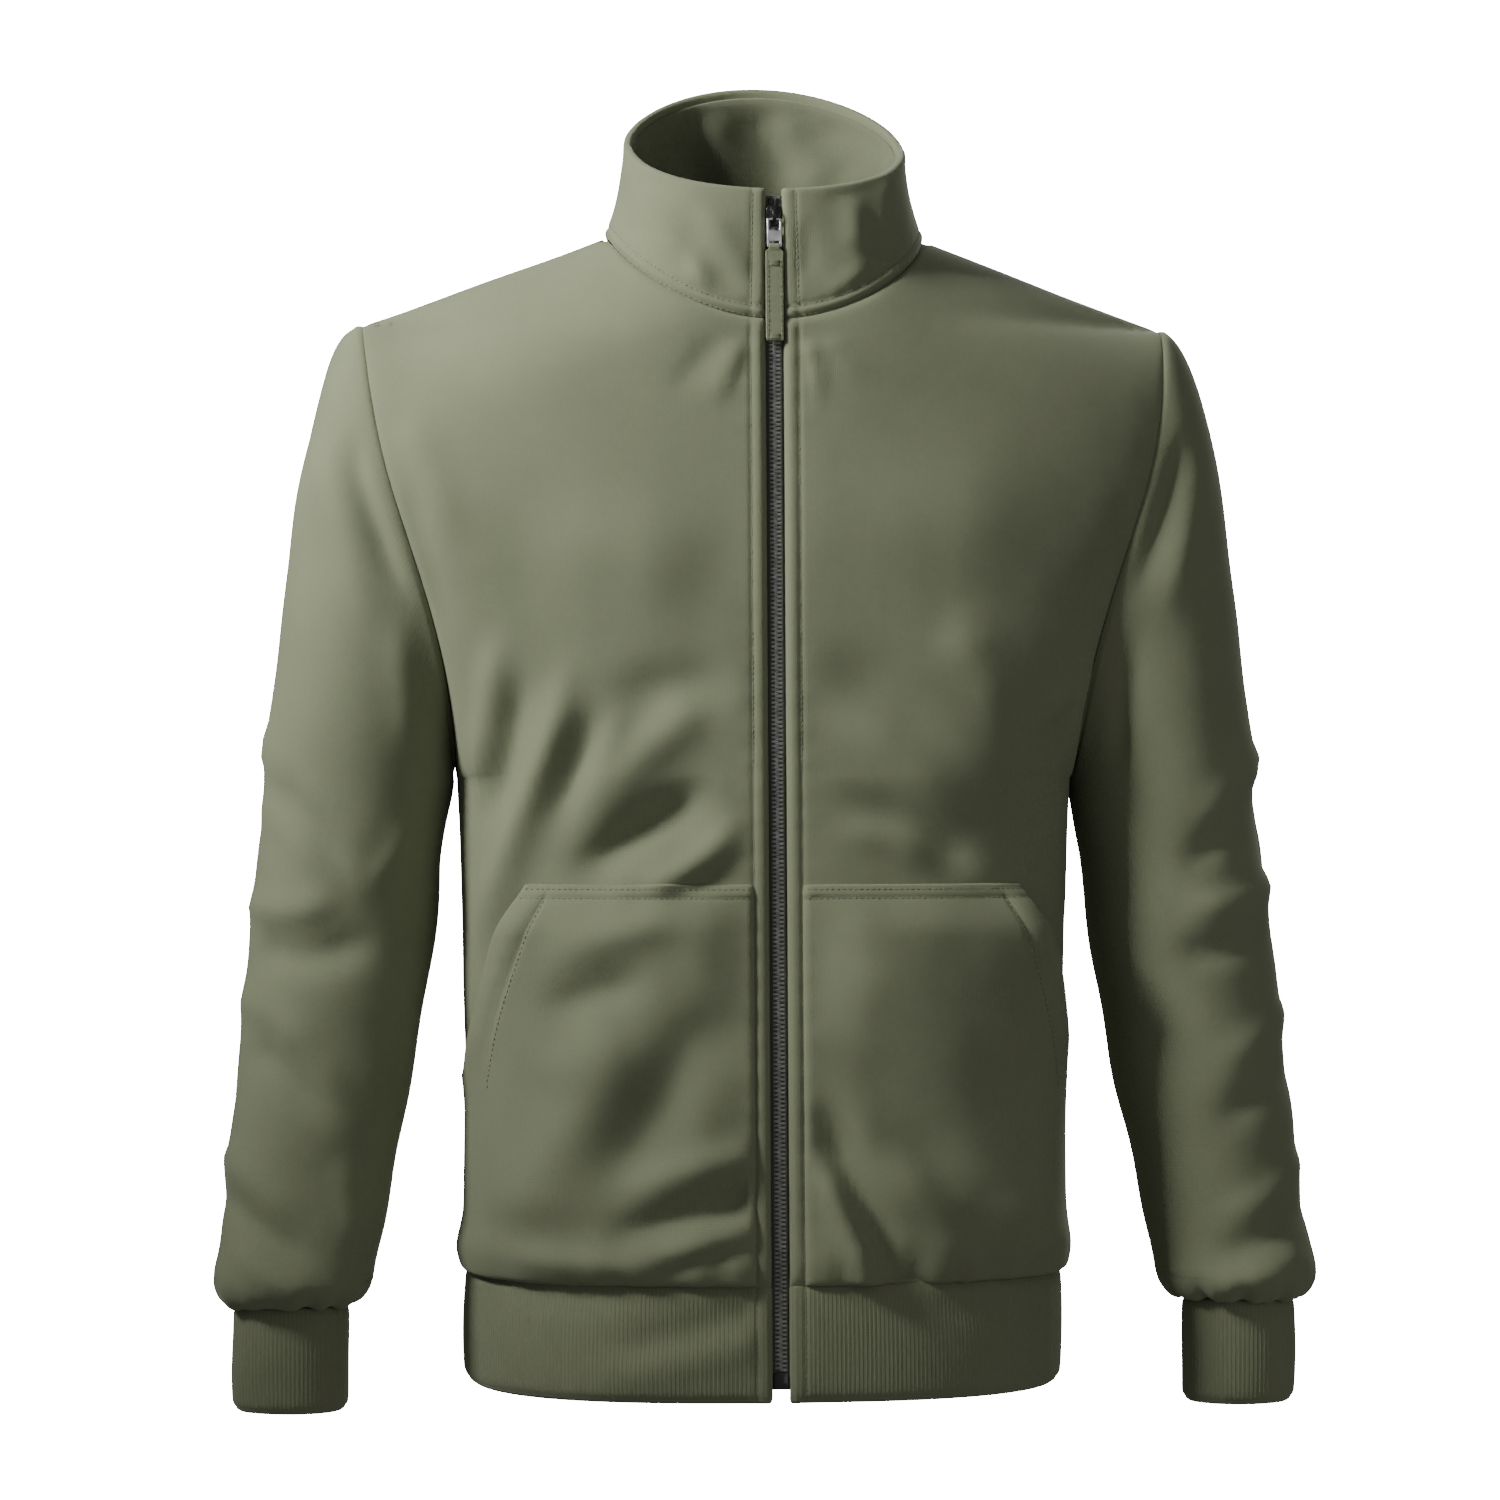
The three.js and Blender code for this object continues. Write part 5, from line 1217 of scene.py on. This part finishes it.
def bridge():
    """Arched bridge over the slider, with a rounded section."""
    t = np.linspace(0, 1, 29)
    z = SLIDER_Z + 4.1 - 8.2 * t
    y = SLIDER_FRONT + 0.3 - (RISE - 0.6) * np.sin(np.pi * t) ** 0.45
    c = np.stack([0 * t, y, z], -1)
    along = unit(np.gradient(c, axis=0))
    side = np.array([1.0, 0, 0])
    up = np.cross(along, side)
    turn = np.linspace(0, 2 * np.pi, 15)[:-1]
    ring = c[:, None] + 1.2 * np.cos(turn)[None, :, None] * side + 0.55 * np.sin(turn)[None, :, None] * up[:, None]
    return np.swapaxes(ring, 0, 1).reshape(-1, 3), grid_faces(14, 29, True)


flange = []
for sx in (-1, 1):
    for y0, y1 in ((SLIDER_FRONT + 0.5, TAPE_FRONT - 0.35), (TAPE_FRONT + 1.15, TEETH_Y + 1.9)):
        flange.append(rounded_block([sx * 3.75, y0, SLIDER_Z - 5.6], [sx * 4.75, y1, SLIDER_Z + 5.8], 0.35, 2))
zip_piece("slider_metal", [
    plate(SLIDER_FRONT, SLIDER_FRONT + 1.1), plate(TEETH_Y + 1.6, TEETH_Y + 2.7), bridge(),
    rounded_block([-0.45, SLIDER_FRONT + 0.5, SLIDER_Z + 1.6], [0.45, TEETH_Y + 2, SLIDER_Z + 6.2], 0.3, 2),
    rounded_block([-2.0, SLIDER_FRONT - 0.35, SLIDER_Z - 5.3], [2.0, SLIDER_FRONT + 0.3, SLIDER_Z + 5.2], 0.5, 2),
    *flange], BLACK, "slider", "zip_slider")

PULL_Y = SLIDER_FRONT - RISE / 2 + 0.6
PULL_Z = SLIDER_Z - 9.4 / 2 + 1.2 + 0.3 + 0.6
foot = PULL_Z - 17
back_y = PULL_Y + 0.6
zip_piece("pull_metal_tab", [
    rounded_block([-4.5, PULL_Y - 0.6, PULL_Z - 0.6], [4.5, back_y, PULL_Z + 0.6], 0.5, 3),
    rounded_block([-4.5, PULL_Y - 0.6, foot], [4.5, back_y, foot + 1.3], 0.5, 3),
    rounded_block([-4.5, PULL_Y - 0.65, foot + 3.6], [4.5, back_y, foot + 10.2], 0.5, 3),
    rounded_block([-4.5, PULL_Y - 0.6, foot], [-3.0, back_y, PULL_Z + 0.6], 0.5, 3),
    rounded_block([3.0, PULL_Y - 0.6, foot], [4.5, back_y, PULL_Z + 0.6], 0.5, 3),
], NICKEL, "pull", "zip_pull")

# cloth strap folded round the pull's lower bar, its two layers sewn together below
STRAP_Z = foot + 0.6


def strap():
    t = np.linspace(0, 1, 26)
    back = np.stack([PULL_Y + 0.55 + 0 * t, STRAP_Z - 57 + 53.0 * t], -1)
    loop_turn = np.linspace(0, np.pi, 17)[1:-1]
    loop = np.stack([PULL_Y + 1.45 * np.cos(loop_turn), STRAP_Z + 1.45 * np.sin(loop_turn) - 0.2], -1)
    share = np.linspace(0, 1, 6)[1:]
    rise = np.stack([mix(0.55, 1.45, smooth(share)) + PULL_Y, mix(STRAP_Z - 4.0, STRAP_Z - 0.6, share)], -1)
    to_front = [2 * PULL_Y, 0]
    line = np.concatenate([back, rise, loop, rise[::-1] * [-1, 1] + to_front, back[::-1] * [-1, 1] + to_front])
    width = np.where(line[:, 1] > STRAP_Z - 1.4, 2.85, mix(5.0, 2.85, smooth((line[:, 1] - STRAP_Z + 3.4) / 2.0)))
    s = np.array([-1, -.96, -.88, -.6, -.2, .2, .6, .88, .96, 1])
    y, z = (np.repeat(line[None, :, k], len(s), 0) for k in (0, 1))
    p = np.stack([s[:, None] * width[None], y, z], -1)
    along = unit(np.gradient(line, axis=0))
    n2 = np.stack([-along[:, 1], along[:, 0]], -1)
    n = np.stack([np.zeros_like(y), *(np.repeat(n2[None, :, k], len(s), 0) for k in (0, 1))], -1)
    if (n2[len(back) + 12] * (line[len(back) + 12] - np.array([PULL_Y, STRAP_Z]))).sum() < 0:
        n = -n
    pinch = groove(np.abs(np.abs(s)[:, None] * width[None] - 3.9), 0.25, 0.6) * (width[None] > 4)
    puff = 0.12 * np.sin(line[None, :, 1] * 2 * np.pi / 6.5) * (width[None] > 4)
    p = p + n * (0.42 + pinch + puff)[..., None]
    q = in_jacket(p)
    m = unit(in_jacket(p + n) - q)
    return cloth_shell("pull_strap_cloth", q, m, 0.9, FLEECE, uv=p[..., [0, 2]])


piece = strap()
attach(piece, "strap")
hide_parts("pull_strap")

parts = []
outward = unit(in_jacket(np.array([0, -1.0, 0])) - in_jacket(np.zeros(3)))[None]
for top in (STRAP_Z - 9.0, STRAP_Z - 53.5):
    for row in range(7):
        z = top - row * 0.42
        path = np.stack([np.linspace(-3.6, 3.6, 9), np.full(9, PULL_Y - 1.15), np.full(9, z)], -1)
        q = in_jacket(path)
        m = np.repeat(outward, 9, 0)
        parts += stitches(q, m, length=6.6, gap=0.3, radius=0.24, sink=-0.1)
for edge in (-3.9, 3.9):
    line = np.linspace(STRAP_Z - 55.5, STRAP_Z - 8, 40)
    q = in_jacket(np.stack([np.full(40, edge), np.full(40, PULL_Y - 1.0), line], -1))
    m = np.repeat(outward, 40, 0)
    parts += stitches(q, m, length=2.2, gap=0.7, radius=0.2, sink=-0.05)
thread_piece("strap_stitches", parts, "strap")

# ---------------------------------------------------------------- studio

FLOOR_LEVEL = -1.45


def pale_floor():
    mesh = bpy.data.meshes.new("floor")
    mesh.from_pydata([(x, y, FLOOR_LEVEL) for x, y in ((-5, -4), (5, -4), (5, 3.8), (-5, 3.8))], [], [(0, 1, 2, 3)])
    floor = bpy.data.objects.new("floor", mesh)
    bpy.context.scene.collection.objects.link(floor)
    material = bpy.data.materials.new("floor")
    material.use_nodes = True
    shader = material.node_tree.nodes["Principled BSDF"]
    for socket, value in (("Base Color", (0.7, 0.7, 0.69, 1)), ("Roughness", 0.7),
                          ("Emission Color", (1, 1, 1, 1)), ("Emission Strength", 1.6)):
        shader.inputs[socket].default_value = value
    mesh.materials.append(material)
    floor.visible_diffuse = False
    floor.visible_glossy = False


pale_floor()
